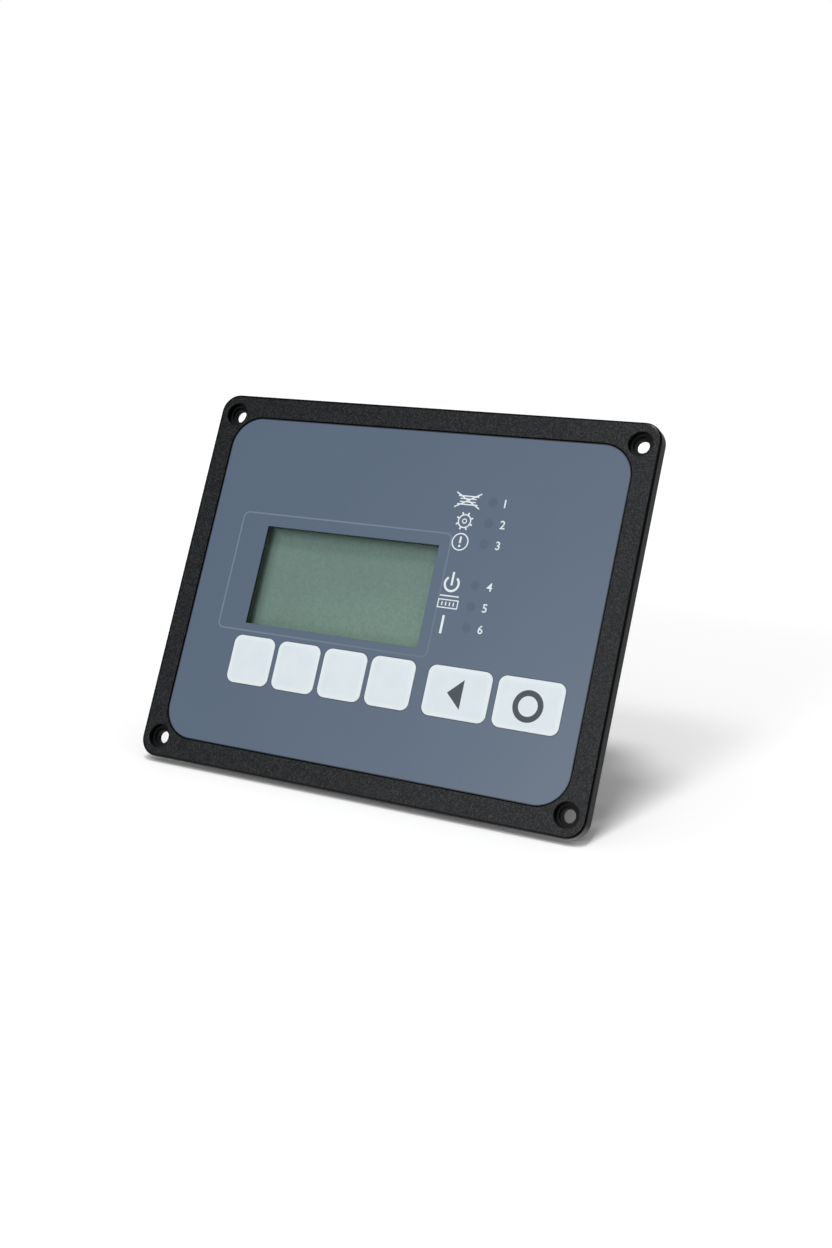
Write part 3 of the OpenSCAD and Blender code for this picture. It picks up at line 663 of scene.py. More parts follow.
@dataclass(frozen=True)
class BezelMoulding(Finish):
    """Black moulding with a coarse pebbled face, and smooth edges and screw recesses.

    Attributes:
        edge: Rounding of the front edge.
        edge_fade: How far outside and inside the end of that rounding the grain begins and is whole.
        edge_roughness: Roughness of the smooth edge.
        edge_grain: Share of the grain's depth that is left on the smooth edge.
        face_y: Depth of the face.
        face_fade: How far behind the face the grain begins and is whole.
        hole: Place of a screw hole, the same in all four corners.
        recess: Radius of a screw's recess.
        recess_fade: How far outside the recess its own surface begins.
        recess_roughness: Roughness in the recesses.
        joint: How far outside the film the painted shade in the gap round it begins and is whole.
        painted_gap_shade: Share of the colour that the painted shade in that gap leaves.
        tops: Heights of the grain at which its paler tops begin and are whole.
        top_colour: Colour of those tops.
        specks: The same heights for the shining specks on them.
        speck_size: Size of the specks as a share of the grain's.
        speck_gloss: Roughness that the specks lose.
        sand_size: Size of the sand between the pebbles as a share of theirs.
        sand_depth: The sand's depth as a share of theirs.
        wall: How far outside the display's opening the painted light on its wall begins and is whole.
        painted_display_light: Colour painted on that wall for the light that the display throws on it.
    """

    edge: float = 0.8
    edge_fade: Point = (0.15, 0.35)
    edge_roughness: float = 0.26
    edge_grain: float = 0.06
    face_y: float = -5.0
    face_fade: Point = (0.12, 0.04)
    hole: Point = (80.35, 62.4)
    recess: float = 4.3
    recess_fade: float = 0.3
    recess_roughness: float = 0.6
    joint: Point = (0.55, 0.42)
    painted_gap_shade: float = 0.25
    tops: Point = (0.48, 0.64)
    top_colour: Colour = paint(41, 46, 50)
    specks: Point = (0.42, 0.66)
    speck_size: float = 0.8
    speck_gloss: float = 0.14
    sand_size: float = 1 / 2.4
    sand_depth: float = 0.5
    wall: Point = (0.3, 0.1)
    painted_display_light: Colour = paint(84, 96, 90)

    def gap_shade_mask(self, surface: Surface) -> Wire:
        """Gives 1 in the gap round the film, where shade is painted, and on all that lies inside it."""
        return surface.outside(FILM).rise(*self.joint)

    def sunk(self, surface: Surface) -> Wire:
        """Gives 1 in the screw recesses.

        Args:
            surface: The material under construction.

        Returns:
            The share.
        """
        x, _, z = surface.axes()
        away = (abs(x) - self.hole[0]).reach(abs(z) - self.hole[1])
        return away.rise(self.recess + self.recess_fade, self.recess)

    def face(self, surface: Surface) -> Wire:
        """Gives 1 on the pebbled face and 0 on smooth edges, in the recesses and on all that lies deeper.

        Args:
            surface: The material under construction.

        Returns:
            The share.
        """
        _, y, _ = surface.axes()
        begins, whole = self.edge_fade
        inner = surface.outside(PLATE).rise(begins - self.edge, -whole - self.edge)
        shallow = y.rise(*(self.face_y + depth for depth in self.face_fade))
        return inner * (1 - self.sunk(surface)) * shallow

    def tint(self, surface: Surface) -> Wire:
        """Gives black that is paler on the grain's tops, with painted shade round the film and painted light
        on the opening's wall.

        Args:
            surface: The material under construction.

        Returns:
            The colour.
        """
        tops = surface.clouds(self.grain_size, detail=1).rise(*self.tops) * self.face(surface)
        grained = surface.blend(tops, super().tint(surface), self.top_colour)
        # Painted shade in the gap round the film, where the seat's wall lies in the film's shadow.
        lined = surface.blend(self.gap_shade_mask(surface), grained, shaded(self.colour, self.painted_gap_shade))
        # Painted light: the opening's wall takes the grey-green light of the display.
        return surface.blend(surface.outside(OPENING).rise(*self.wall), lined, self.painted_display_light)

    def gloss(self, surface: Surface) -> Amount:
        """Gives a glossier edge and a matte face with shining specks.

        Args:
            surface: The material under construction.

        Returns:
            The roughness.
        """
        specks = surface.clouds(self.grain_size * self.speck_size, detail=1).rise(*self.specks)
        gained = self.roughness - self.edge_roughness + specks * -self.speck_gloss
        moulded = self.edge_roughness + self.face(surface) * gained
        return moulded.most(self.gap_shade_mask(surface)).most(self.sunk(surface) * self.recess_roughness)

    def relief(self, surface: Surface) -> Wire:
        """Gives pebbles with fine sand between them.

        Args:
            surface: The material under construction.

        Returns:
            The height.
        """
        pebble = (1 - surface.pebbles(self.grain_size)) * self.grain_depth
        sand_depth = self.grain_depth * self.sand_depth
        sand = surface.clouds(self.grain_size * self.sand_size, detail=2) * sand_depth
        return (pebble + sand) * (self.face(surface) * (1 - self.edge_grain) + self.edge_grain)


@dataclass(frozen=True)
class PrintedFilm(Finish):
    """Blue-grey printed film with dim light spots, and a ridge over the pane's edge with a painted highlight
    along it.

    Attributes:
        spot_colour: Colour of the unlit light spots.
        spot_share: How strongly they show.
        spot_x: Place of the spots.
        spot_radius: Radius of a spot.
        spot_fade: Half the width of its soft edge.
        line: Distances from the pane's edge at which the ridge over it and its painted highlight begin and
            are whole.
        ridge_highlight_colour: Colour of the painted highlight on that ridge.
        ridge_highlight_share: How strongly the highlight shows at the lower right, and what it gains to the
            upper left.
        ridge_highlight_ends: Distances to the upper left between which it gains that, as the light catches
            the ridge.
        line_height: Height of the ridge over the pane's edge.
        film_gap_shade: Distances from the film's outline at which the painted shade of the gap round it
            begins and is whole.
        film_gap_shade_share: How strongly that painted shade shows.
        film_gap_shade_level: Share of the colour that the painted shade leaves.
        gloss_size: Size of the patches of gloss, in grains.
        wander: How far the roughness wanders in those.
    """

    mottle: float = 0.012
    mottle_size: float = 40
    grain_depth: float = 0.004
    wander: float = 0.06
    spot_colour: Colour = paint(76, 88, 103)
    spot_share: float = 0.5
    spot_x: float = 32.05
    spot_radius: float = 1.7
    spot_fade: float = 0.4
    line: Point = (0.42, 0.12)
    ridge_highlight_colour: Colour = paint(128, 141, 156)
    ridge_highlight_share: Point = (0.15, 0.55)
    ridge_highlight_ends: Point = (-70, 60)
    line_height: float = 0.015
    film_gap_shade: Point = (-0.4, -0.2)
    film_gap_shade_share: float = 0.9
    film_gap_shade_level: float = 0.1
    gloss_size: float = 4

    def edge_line(self, surface: Surface) -> Wire:
        """Gives 1 along the pane's edge."""
        return abs(surface.outside(PANE)).rise(*self.line)

    def spots(self, surface: Surface) -> Wire:
        """Gives 1 in the light spots.

        Args:
            surface: The material under construction.

        Returns:
            The share.
        """
        x, _, z = surface.axes()
        rows = []
        for top, bottom in LIGHT_ROWS:
            steps = ((z - bottom) / LIGHT_PITCH).rounded().most(0).least((top - bottom) / LIGHT_PITCH)
            rows.append(abs(z - bottom - steps * LIGHT_PITCH))
        away = (x - self.spot_x).reach(rows[0].least(rows[1]))
        return away.rise(self.spot_radius + self.spot_fade, self.spot_radius - self.spot_fade)

    def tint(self, surface: Surface) -> Wire:
        """Gives the print's colours, with a painted highlight on the pane's ridge and painted shade at the
        film's border.

        Args:
            surface: The material under construction.

        Returns:
            The colour.
        """
        x, _, z = surface.axes()
        # Painted highlight on the ridge over the pane's edge, brighter to the upper left.
        least, gain = self.ridge_highlight_share
        faded = self.edge_line(surface) * ((z - x).rise(*self.ridge_highlight_ends) * gain + least)
        lined = surface.blend(faded, super().tint(surface), self.ridge_highlight_colour)
        printed = surface.blend(self.spots(surface) * self.spot_share, lined, self.spot_colour)
        # Painted shade along the film's outer border, which lies in the gap by the bezel's seat.
        film_gap_shade = surface.outside(FILM).rise(*self.film_gap_shade) * self.film_gap_shade_share
        return surface.blend(film_gap_shade, printed, shaded(self.colour, self.film_gap_shade_level))

    def gloss(self, surface: Surface) -> Amount:
        """Gives an even gloss, as a calendered film has."""
        return self.roughness + (surface.clouds(self.grain_size * self.gloss_size) - 0.5) * self.wander

    def relief(self, surface: Surface) -> Wire:
        """Gives a fine matte texture and the ridge over the pane's edge."""
        fine = surface.clouds(self.grain_size, detail=2) * self.grain_depth
        return fine + self.edge_line(surface) * self.line_height


@dataclass(frozen=True)
class KeyPrint(Finish):
    """White printed key whose film rises softly inside its border.

    Attributes:
        outline: Outline of the key.
        rim: Distances from the outline at which the painted highlight along the pillowed border begins and is
            whole.
        painted_highlight_colour: Colour of that painted highlight.
        painted_shading_share: How strongly it shows.
        pillow: Distances from the outline between which the key rises.
        pillow_height: How far it rises.
    """

    colour: Colour = paint(223, 233, 238)
    mottle: float = 0.015
    grain_depth: float = 0.003
    outline: Rectangle = Rectangle(17.3, 17.6, 3.0)
    rim: Point = (-2.2, -0.5)
    painted_highlight_colour: Colour = paint(234, 242, 244)
    painted_shading_share: float = 0.6
    pillow: Point = (-0.3, -2.4)
    pillow_height: float = 0.06

    def tint(self, surface: Surface) -> Wire:
        """Gives white with a painted highlight along the pillowed border."""
        # Painted highlight where the pillowed border of the key catches the light.
        border = surface.outside(self.outline).rise(*self.rim) * self.painted_shading_share
        return surface.blend(border, super().tint(surface), self.painted_highlight_colour)

    def relief(self, surface: Surface) -> Wire:
        """Gives a matte texture and a pillowed border."""
        return super().relief(surface) + surface.outside(self.outline).rise(*self.pillow) * self.pillow_height


@dataclass(frozen=True)
class DisplayGlass(Finish):
    """Grey-green liquid crystal glass with the faint grid of its dots.

    Attributes:
        low_colour: Colour towards the lower edge.
        low_ends: Heights at which that colour begins and is reached.
        lean: How far those heights sink to the right.
        sand_size: Size of the sandy specks.
        sand_ends: Values of the noise at which they begin and are whole.
        sand_share: How strongly they show.
        sand_shade: Share of the colour that they keep.
        dots: Half the width and height of the field of dots.
        dot_fade: Width of the field's soft border.
        dot_ends: Darkness between two dots at which a gap begins and is whole.
        dot_pitch: Distance from one dot to the next.
        dot_share: How strongly the gaps between the dots show.
        dot_shade: Share of the colour that the gaps keep.
        rim: How far the painted shadow of the window's walls reaches in at the left and at the top.
        painted_shading_share: How strongly it shows.
        painted_shadow_level: Share of the colour that the painted shadow keeps.
    """

    low_colour: Colour = paint(134, 159, 147)
    low_ends: Point = (10.0, -18.0)
    lean: float = 0.25
    sand_size: float = 1.0
    sand_ends: Point = (0.35, 0.65)
    sand_share: float = 0.16
    sand_shade: float = 0.4
    dots: Point = (33.2, 16.6)
    dot_fade: float = 0.1
    dot_ends: Point = (0.6, 0.95)
    dot_pitch: float = 0.52
    dot_share: float = 0.1
    dot_shade: float = 0.55
    rim: Point = (5.0, 2.2)
    painted_shading_share: float = 0.5
    painted_shadow_level: float = 0.3

    def tint(self, surface: Surface) -> Wire:
        """Gives the two greens, the sand, the grid and a painted shadow along the left and top edges.

        Args:
            surface: The material under construction.

        Returns:
            The colour.
        """
        x, _, z = surface.axes()
        low = (z - x * self.lean).rise(*self.low_ends)
        green = surface.blend(low, super().tint(surface), self.low_colour)
        sand = surface.clouds(self.sand_size, detail=1).rise(*self.sand_ends) * self.sand_share
        sandy = surface.blend(sand, green, shaded(self.colour, self.sand_shade))
        across, up = x - WINDOW.middle[0], z - WINDOW.middle[1]
        fields = zip((across, up), self.dots)
        side, end = (abs(way).rise(half + self.dot_fade, half) for way, half in fields)
        gaps = (1 - across.ripple(self.dot_pitch)).most(1 - up.ripple(self.dot_pitch)).rise(*self.dot_ends)
        shown = side * end * gaps * self.dot_share
        dotted = surface.blend(shown, sandy, shaded(self.colour, self.dot_shade))
        # Painted shadow that the window's left and top walls cast on the glass.
        left, top = across + WINDOW.width / 2, WINDOW.height / 2 - up
        dim = left.rise(self.rim[0], 0).most(top.rise(self.rim[1], 0)) * self.painted_shading_share
        return surface.blend(dim, dotted, shaded(self.colour, self.painted_shadow_level))


@dataclass(frozen=True)
class ClearPlastic(Finish):
    """Clear moulded plastic that shows what lies behind it, and mirrors a little of the room.

    Attributes:
        clear: Colour that its depth lends to what lies behind it.
        body: Share of the surface that shows the plastic itself at a straight look.
        rim: Share that it gains where it is looked at along its face.
        rim_begins: How far the face turns away, from 0 to 1, before it gains any.
    """

    metallic: float = 1.0
    clear: Colour = (0.97, 0.985, 0.98)
    body: float = 0.012
    rim: float = 0.7
    rim_begins: float = 0.35

    def shader(self, surface: Surface) -> Wire:
        """Mixes the sight through the plastic with its polished face.

        Args:
            surface: The material under construction.

        Returns:
            The shader.
        """
        face = super().shader(surface)
        through = surface.node("ShaderNodeBsdfTransparent", {"Color": self.clear})
        turned = surface.node("ShaderNodeLayerWeight", {"Blend": 0.5}, "Facing")
        share = turned.rise(self.rim_begins, 1.0) * self.rim + self.body
        return surface.node("ShaderNodeMixShader", {0: share, 1: through, 2: face})


@dataclass(frozen=True)
class CircuitPrint(Finish):
    """Solder mask over a copper pour, with rows of small vias and a bare laminate edge.

    Attributes:
        outline: Outline of the board.
        pour_colour: Colour of the mask over copper.
        pour_share: How strongly the copper shows through it.
        pour_size: Size of the poured areas.
        pour_ends: Values of the noise at which they begin and are whole.
        pour_steps: Steps along each axis that keep their borders straight.
        pour_height: Height of the copper.
        via_colour: Colour of the vias.
        via_pitch: Distance from one via to the next.
        via_ends: Height of the waves round a via at which it begins and is whole.
        via_field: Size of the fields that have vias.
        via_field_ends: Values of the noise at which such a field begins and is whole.
        edge_colour: Colour of the cut edge.
        edge_ends: Distances from the outline at which that edge begins and is whole.
    """

    roughness: float = 0.32
    coat: float = 0.4
    grain_depth: float = 0.003
    outline: Rectangle = Rectangle(135.0, 100.0)
    pour_colour: Colour = paint(30, 98, 58)
    pour_share: float = 0.8
    pour_size: float = 22.0
    pour_ends: Point = (0.42, 0.44)
    pour_steps: Place = (6.0, 50.0, 4.0)
    pour_height: float = 0.03
    via_colour: Colour = paint(150, 152, 118)
    via_pitch: float = 3.5
    via_ends: Point = (0.26, 0.2)
    via_field: float = 9.0
    via_field_ends: Point = (0.55, 0.57)
    edge_colour: Colour = paint(168, 164, 112)
    edge_ends: Point = (-0.12, -0.04)

    def pour(self, surface: Surface) -> Wire:
        """Gives 1 on the copper pour, whose borders run straight along the board.

        Args:
            surface: The material under construction.

        Returns:
            The share.
        """
        sockets = {0: surface.place, 1: self.pour_steps}
        stepped = surface.node("ShaderNodeVectorMath", sockets, operation="SNAP")
        return surface.clouds(self.pour_size, detail=0, place=stepped).rise(*self.pour_ends)

    def vias(self, surface: Surface) -> Wire:
        """Gives 1 on the vias.

        Args:
            surface: The material under construction.

        Returns:
            The share.
        """
        x, _, z = surface.axes()
        spot = x.ripple(self.via_pitch).reach(z.ripple(self.via_pitch)).rise(*self.via_ends)
        return spot * surface.clouds(self.via_field, detail=0).rise(*self.via_field_ends)

    def tint(self, surface: Surface) -> Wire:
        """Gives the mask, the pour under it, the vias and the edge.

        Args:
            surface: The material under construction.

        Returns:
            The colour.
        """
        green = surface.blend(self.pour(surface) * self.pour_share, super().tint(surface), self.pour_colour)
        dotted = surface.blend(self.vias(surface), green, self.via_colour)
        edge = surface.outside(self.outline).rise(*self.edge_ends)
        return surface.blend(edge, dotted, self.edge_colour)

    def relief(self, surface: Surface) -> Wire:
        """Gives the height of the pour."""
        return super().relief(surface) + self.pour(surface) * self.pour_height


@dataclass(frozen=True)
class SheetCircuit(Finish):
    """Clear sheet with silver tracks that run to its tail."""

    track_colour: Colour = paint(168, 170, 172)
    track_height: float = 0.02
    pitch: float = 1.3
    track_ends: Point = (0.75, 0.85)
    patch: float = 16.0
    patch_ends: Point = (0.49, 0.51)

    def tracks(self, surface: Surface) -> Wire:
        """Gives 1 on the tracks.

        Args:
            surface: The material under construction.

        Returns:
            The share.
        """
        x, _, z = surface.axes()
        upright, level = (way.ripple(self.pitch).rise(*self.track_ends) for way in (x, z))
        return surface.blend(surface.clouds(self.patch, detail=0).rise(*self.patch_ends), upright, level)

    def tint(self, surface: Surface) -> Wire:
        """Gives the sheet and its tracks."""
        return surface.blend(self.tracks(surface), super().tint(surface), self.track_colour)

    def relief(self, surface: Surface) -> Wire:
        """Gives the height of the ink."""
        return super().relief(surface) + self.tracks(surface) * self.track_height


@dataclass(frozen=True)
class BrushedMetal(Finish):
    """Bare metal with fine marks that run one way."""

    metallic: float = 1.0
    stretch: Place = (0.12, 1.0, 1.0)

    def relief(self, surface: Surface) -> Wire:
        """Gives the drawn marks."""
        drawn = surface.clouds(self.grain_size, detail=3, place=surface.stretched(self.stretch))
        return drawn * self.grain_depth


@dataclass(frozen=True)
class KnurledInsert(BrushedMetal):
    """Brass insert with a knurled outside."""

    ridges: int = 28
    ridge_height: float = 0.08

    def relief(self, surface: Surface) -> Wire:
        """Gives the ridges round each of the four inserts.

        Args:
            surface: The material under construction.

        Returns:
            The height.
        """
        x, _, z = surface.axes()
        turn = (abs(z) - COVER_SCREW[1]).turn_from(abs(x) - COVER_SCREW[0])
        return (turn * self.ridges).sine() * self.ridge_height + super().relief(surface)


@dataclass(frozen=True)
class SleevedCan(Finish):
    """Capacitor can: a printed sleeve with a pale stripe, and a bare top."""

    top_y: float = 24.2
    top_colour: Colour = paint(190, 193, 197)
    stripe_colour: Colour = paint(176, 186, 200)
    stripe_x: float = 52.9
    edge: float = 0.1

    def tint(self, surface: Surface) -> Wire:
        """Gives the sleeve, its stripe and the top.

        Args:
            surface: The material under construction.

        Returns:
            The colour.
        """
        x, y, _ = surface.axes()
        stripe = x.rise(self.stripe_x - self.edge, self.stripe_x)
        sleeve = surface.blend(stripe, super().tint(surface), self.stripe_colour)
        return surface.blend(y.rise(self.top_y - self.edge, self.top_y + self.edge), sleeve, self.top_colour)


@dataclass(frozen=True)
class FoamStrip(Finish):
    """Closed-cell foam with small open pores.

    Attributes:
        softness: How softly the pores run together.
        wall_ends: Distances from a pore's middle, in pores, at which its wall begins and is whole.
    """

    softness: float = 0.2
    wall_ends: Point = (0.1, 0.5)

    def relief(self, surface: Surface) -> Wire:
        """Gives the pores."""
        return surface.pebbles(self.grain_size, self.softness).rise(*self.wall_ends) * self.grain_depth


class Finishes(Enum):
    """The finishes of the object, by the part of it that wears them."""

    BEZEL = BezelMoulding(
        "bezel_moulding",
        paint(4, 6, 8),
        0.42,
        shine=0.32,
        mottle=0.2,
        mottle_size=14,
        grain_size=0.44,
        grain_depth=0.07,
    )
    COVER = Finish(
        "cover_moulding",
        paint(34, 35, 37),
        0.42,
        mottle=0.3,
        mottle_size=0.7,
        grain_size=0.5,
        grain_depth=0.035,
    )
    FILM = PrintedFilm("printed_film", paint(88, 105, 125), 0.34)
    SIGN = Finish("sign_print", paint(230, 238, 242), mottle=0.03, mottle_size=2, grain_depth=0.003)
    KEY_SIGN = Finish("key_sign_print", paint(68, 76, 87), mottle=0.04, mottle_size=3, grain_depth=0.003)
    LAYER = Finish("spacer_sheet", paint(196, 200, 204), 0.45, mottle=0.04, grain_depth=0.004)
    SHEET_CIRCUIT = SheetCircuit("sheet_circuit", paint(58, 96, 80), 0.35, grain_depth=0.003)
    BOARD = CircuitPrint("board_mask", paint(18, 70, 42))
    DISPLAY_BOARD = CircuitPrint(
        "display_board_mask", paint(18, 66, 50), outline=Rectangle(93.0, 70.0, middle=DISPLAY_MIDDLE)
    )
    TRACK = Finish("masked_track", paint(46, 124, 74), 0.3, coat=0.4, mottle=0.05, grain_depth=0.002)
    BOARD_MARK = Finish("board_mark", paint(222, 226, 220), mottle=0.05, mottle_size=2, grain_depth=0.003)
    SOLDER = Finish("solder", paint(190, 193, 196), 0.22, metallic=1.0, mottle=0.08, mottle_size=0.6)
    CERAMIC = Finish("ceramic_body", paint(138, 112, 84), 0.45, mottle=0.3, mottle_size=9, grain_depth=0.003)
    COPPER = Finish("enamelled_copper", paint(186, 104, 58), 0.25, metallic=1.0, coat=0.6, mottle_size=1.5)
    PANE = ClearPlastic("clear_pane", paint(235, 238, 238), 0.1, mottle_size=20, grain_depth=0.0005)
    CAN = BrushedMetal("blackened_can", paint(96, 101, 102), metallic=0.0, grain_depth=0.004)
    GLASS = DisplayGlass(
        "display_glass", paint(126, 150, 142), 0.4, shine=0.3, mottle=0.03, mottle_size=25, grain_depth=0.001
    )
    LIGHT_GUIDE = Finish("light_guide", paint(226, 232, 222), 0.3, coat=0.5, grain_size=0.8, grain_depth=0.02)
    STEEL = BrushedMetal("plated_steel", paint(186, 190, 194), 0.3, grain_depth=0.004)
    DOME = BrushedMetal("dome_steel", paint(196, 198, 200), 0.24, grain_depth=0.002, stretch=(1.0, 1.0, 0.1))
    LIGHT_PIPE = ClearPlastic("light_pipe", paint(220, 228, 228), 0.12, body=0.12, grain_depth=0.001)
    LAMP = Finish("lamp_body", paint(238, 238, 226), 0.35, coat=0.3, mottle_size=1.5)
    CHIP = Finish(
        "chip_resin", paint(32, 33, 36), 0.55, mottle=0.1, mottle_size=3, grain_size=0.12, grain_depth=0.01
    )
    CHOKE = Finish("choke_ferrite", paint(62, 62, 64), 0.6, mottle=0.2, mottle_size=1.2, grain_depth=0.02)
    CAPACITOR = SleevedCan("capacitor_can", paint(44, 62, 104), 0.3, coat=0.4, mottle_size=4)
    CREAM = Finish("cream_nylon", paint(228, 220, 196), 0.42, mottle=0.04, mottle_size=5)
    GREEN = Finish("green_nylon", paint(52, 132, 78), 0.4, mottle=0.05, mottle_size=5)
    BLACK = Finish("black_nylon", paint(30, 30, 32), 0.42, mottle_size=5)
    GOLD = BrushedMetal("gold_contact", paint(214, 178, 96), 0.22, grain_depth=0.002, stretch=(1.0, 0.1, 1.0))
    TIN = BrushedMetal("tin_contact", paint(198, 200, 202), 0.28, grain_depth=0.003, stretch=(1.0, 0.1, 1.0))
    BRASS = KnurledInsert("insert_brass", paint(196, 158, 82), 0.3, grain_depth=0.004)
    SEAL = Finish("seal_rubber", paint(22, 22, 23), 0.65, grain_size=0.25, grain_depth=0.012)
    FOAM = FoamStrip("gasket_foam", paint(28, 28, 29), 0.85, mottle=0.15, grain_size=0.45, grain_depth=0.16)

    @cache
    def made(self) -> bpy.types.Material:
        """Gives the finish's material, built once."""
        return self.value.material()


class Slot(Enum):
    """The record's material slots, which some pieces list but nothing here puts to use."""

    PRINT = "overlay_print"
    BOARD = "circuit_green"
    GOLD = "contact_gold"
    TIN = "contact_tin"
    CHIP = "chip_black"
    STEEL = "screw_steel"
    BRASS = "insert_brass"


class Casting:
    """Collects closed solids in one mesh."""

    def __init__(self) -> None:
        """Starts an empty mesh."""
        self.mesh = bmesh.new()

    def prism(self, outline: Sequence[Point], front_y: float, back_y: float) -> None:
        """Adds a solid between two depths from its outline in the front view.

        Args:
            outline: Corners of the outline, right and up.
            front_y: Depth of its front.
            back_y: Depth of its back.
        """
        front, back = self._ring(outline, front_y), self._ring(outline, back_y)
        ends = [self.mesh.faces.new(front), self.mesh.faces.new(back[::-1])]
        bmesh.ops.recalc_face_normals(self.mesh, faces=ends + self._wall(front, back))

    def band(
        self, inner: Sequence[Point], outer: Sequence[Point], front_y: float, back_y: float
    ) -> None:
        """Adds a closed band between two outlines with as many corners each.

        Args:
            inner: Inner outline.
            outer: Outer outline.
            front_y: Depth of its front.
            back_y: Depth of its back.
        """
        places = ((inner, front_y), (outer, front_y), (outer, back_y), (inner, back_y))
        rings = [self._ring(outline, y) for outline, y in places]
        made = [face for i, ring in enumerate(rings) for face in self._wall(rings[i - 1], ring)]
        bmesh.ops.recalc_face_normals(self.mesh, faces=made)

    def add(self, mesh: bpy.types.Mesh, place: Matrix) -> None:
        """Adds another mesh at a place, and removes the other mesh.

        Args:
            mesh: The mesh.
            place: Where it goes.
        """
        mesh.transform(place)
        self.mesh.from_mesh(mesh)
        bpy.data.meshes.remove(mesh)

    def finished(self, name: str) -> bpy.types.Mesh:
        """Closes the work and hands back a Blender mesh of that name.

        Args:
            name: The mesh's name.

        Returns:
            The mesh.
        """
        made = bpy.data.meshes.new(name)
        self.mesh.to_mesh(made)
        self.mesh.free()
        return made

    def _ring(self, outline: Sequence[Point], y: float) -> list[bmesh.types.BMVert]:
        """Adds the corners of an outline at one depth."""
        return [self.mesh.verts.new((x * MM, y * MM, z * MM)) for x, z in outline]

    def _wall(
        self, first: list[bmesh.types.BMVert], second: list[bmesh.types.BMVert]
    ) -> list[bmesh.types.BMFace]:
        """Joins two rings with faces."""
        sides = zip(first, first[1:] + first[:1], second[1:] + second[:1], second)
        return [self.mesh.faces.new(corners) for corners in sides]


def circle(
    middle: Point, radius: float, start: float = 0.0, end: float = 360.0, steps: int = 48
) -> list[Point]:
    """Gives points on a circle or an arc.

    Args:
        middle: The circle's middle.
        radius: Its radius.
        start: Angle of the first point, in degrees.
        end: Angle after the last point of a full circle, or of the last point of an arc.
        steps: Number of points.

    Returns:
        The points.
    """
    gaps = steps if abs(end - start) >= 360 else steps - 1
    turns = (math.radians(start + (end - start) * i / gaps) for i in range(steps))
    return [(middle[0] + radius * math.cos(turn), middle[1] + radius * math.sin(turn)) for turn in turns]


def beside(line: Sequence[Point], shift: float) -> list[Point]:
    """Gives a line that runs beside another at an even distance, with its corners mitred.

    Args:
        line: The corners of the first line.
        shift: Distance to its left.

    Returns:
        The corners of the second line.
    """
    ways = [(Vector(end) - Vector(start)).normalized() for start, end in zip(line, line[1:])]
    sides = [Vector((-way.y, way.x)) for way in ways]
    made = []
    for i, corner in enumerate(line):
        before, after = sides[max(i - 1, 0)], sides[min(i, len(sides) - 1)]
        mitre = (before + after) / (1 + before.dot(after))
        made.append(tuple(Vector(corner) + mitre * shift))
    return made


def ribbon(line: Sequence[Point], width: float) -> list[Point]:
    """Gives the outline of a line of even width."""
    return beside(line, width / 2) + beside(line, -width / 2)[::-1]


def settle(mesh: bpy.types.Mesh, finish: Finishes, body: str = "housing") -> bpy.types.Object:
    """Makes a piece from a mesh, gives it its finish and ties it to its body.

    Args:
        mesh: Its mesh, in place, whose name the piece takes.
        finish: Its finish.
        body: The CAD body that it moves with.

    Returns:
        The piece.
    """
    piece = bpy.data.objects.new(mesh.name, mesh)
    bpy.context.scene.collection.objects.link(piece)
    mesh.materials.clear()
    mesh.materials.append(finish.made())
    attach(piece, body)
    LOG.info("piece %s rides on %s, %d faces", piece.name, body, len(mesh.polygons))
    return piece


@dataclass
class Carcass:
    """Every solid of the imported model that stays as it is, and the finish that each one wears."""

    nodes: dict[str, bpy.types.Object]
    finishes: dict[str, Finishes] = field(
        default_factory=lambda: {
            "bezel_frame": Finishes.BEZEL,
            "panel_gasket": Finishes.FOAM,
            "overlay_film": Finishes.FILM,
            "keypad_spacer": Finishes.LAYER,
            "keypad_circuit": Finishes.SHEET_CIRCUIT,
            "snap_domes": Finishes.DOME,
            "display_pane": Finishes.PANE,
            "lcd_frame": Finishes.CAN,
            "lcd_glass": Finishes.GLASS,
            "lcd_backlight": Finishes.LIGHT_GUIDE,
            "lcd_board": Finishes.DISPLAY_BOARD,
            "display_drivers": Finishes.CHIP,
            "lcd_screws": Finishes.STEEL,
            "board_header": Finishes.BLACK,
            "light_pipes": Finishes.LIGHT_PIPE,
            "status_lamps": Finishes.LAMP,
            "main_board": Finishes.BOARD,
            "board_screws": Finishes.STEEL,
            "tail_socket": Finishes.CREAM,
            "processor": Finishes.CHIP,
            "crystal_can": Finishes.STEEL,
            "driver_chips": Finishes.CHIP,
            "power_choke": Finishes.CHOKE,
            "supply_capacitors": Finishes.CAPACITOR,
            "harness_header": Finishes.CREAM,
            "harness_pins": Finishes.GOLD,
            "terminal_header": Finishes.GREEN,
            "terminal_pins": Finishes.TIN,
            "thread_inserts": Finishes.BRASS,
            "rear_cover": Finishes.COVER,
            "cover_seal": Finishes.SEAL,
            "cover_screws": Finishes.STEEL,
        }
    )
    keys: tuple[str, ...] = ("soft_key_1", "soft_key_2", "soft_key_3", "soft_key_4", "back_key", "stop_key")
    key_corner: float = 3.0

    def dress(self) -> None:
        """Gives each solid its finish."""
        for name, finish in self.finishes.items():
            self._wear(name, finish.made())
        for name in self.keys:
            key = KeyPrint(f"{name}_print", outline=Extent.of(name).outline(self.key_corner))
            self._wear(name, key.material())

    def _wear(self, name: str, material: bpy.types.Material) -> None:
        """Puts a material in every slot of a node.

        Args:
            name: The node.
            material: The material.
        """
        for place in self.nodes[name].material_slots:
            place.material = material
        LOG.info("node %s wears %s", name, material.name)


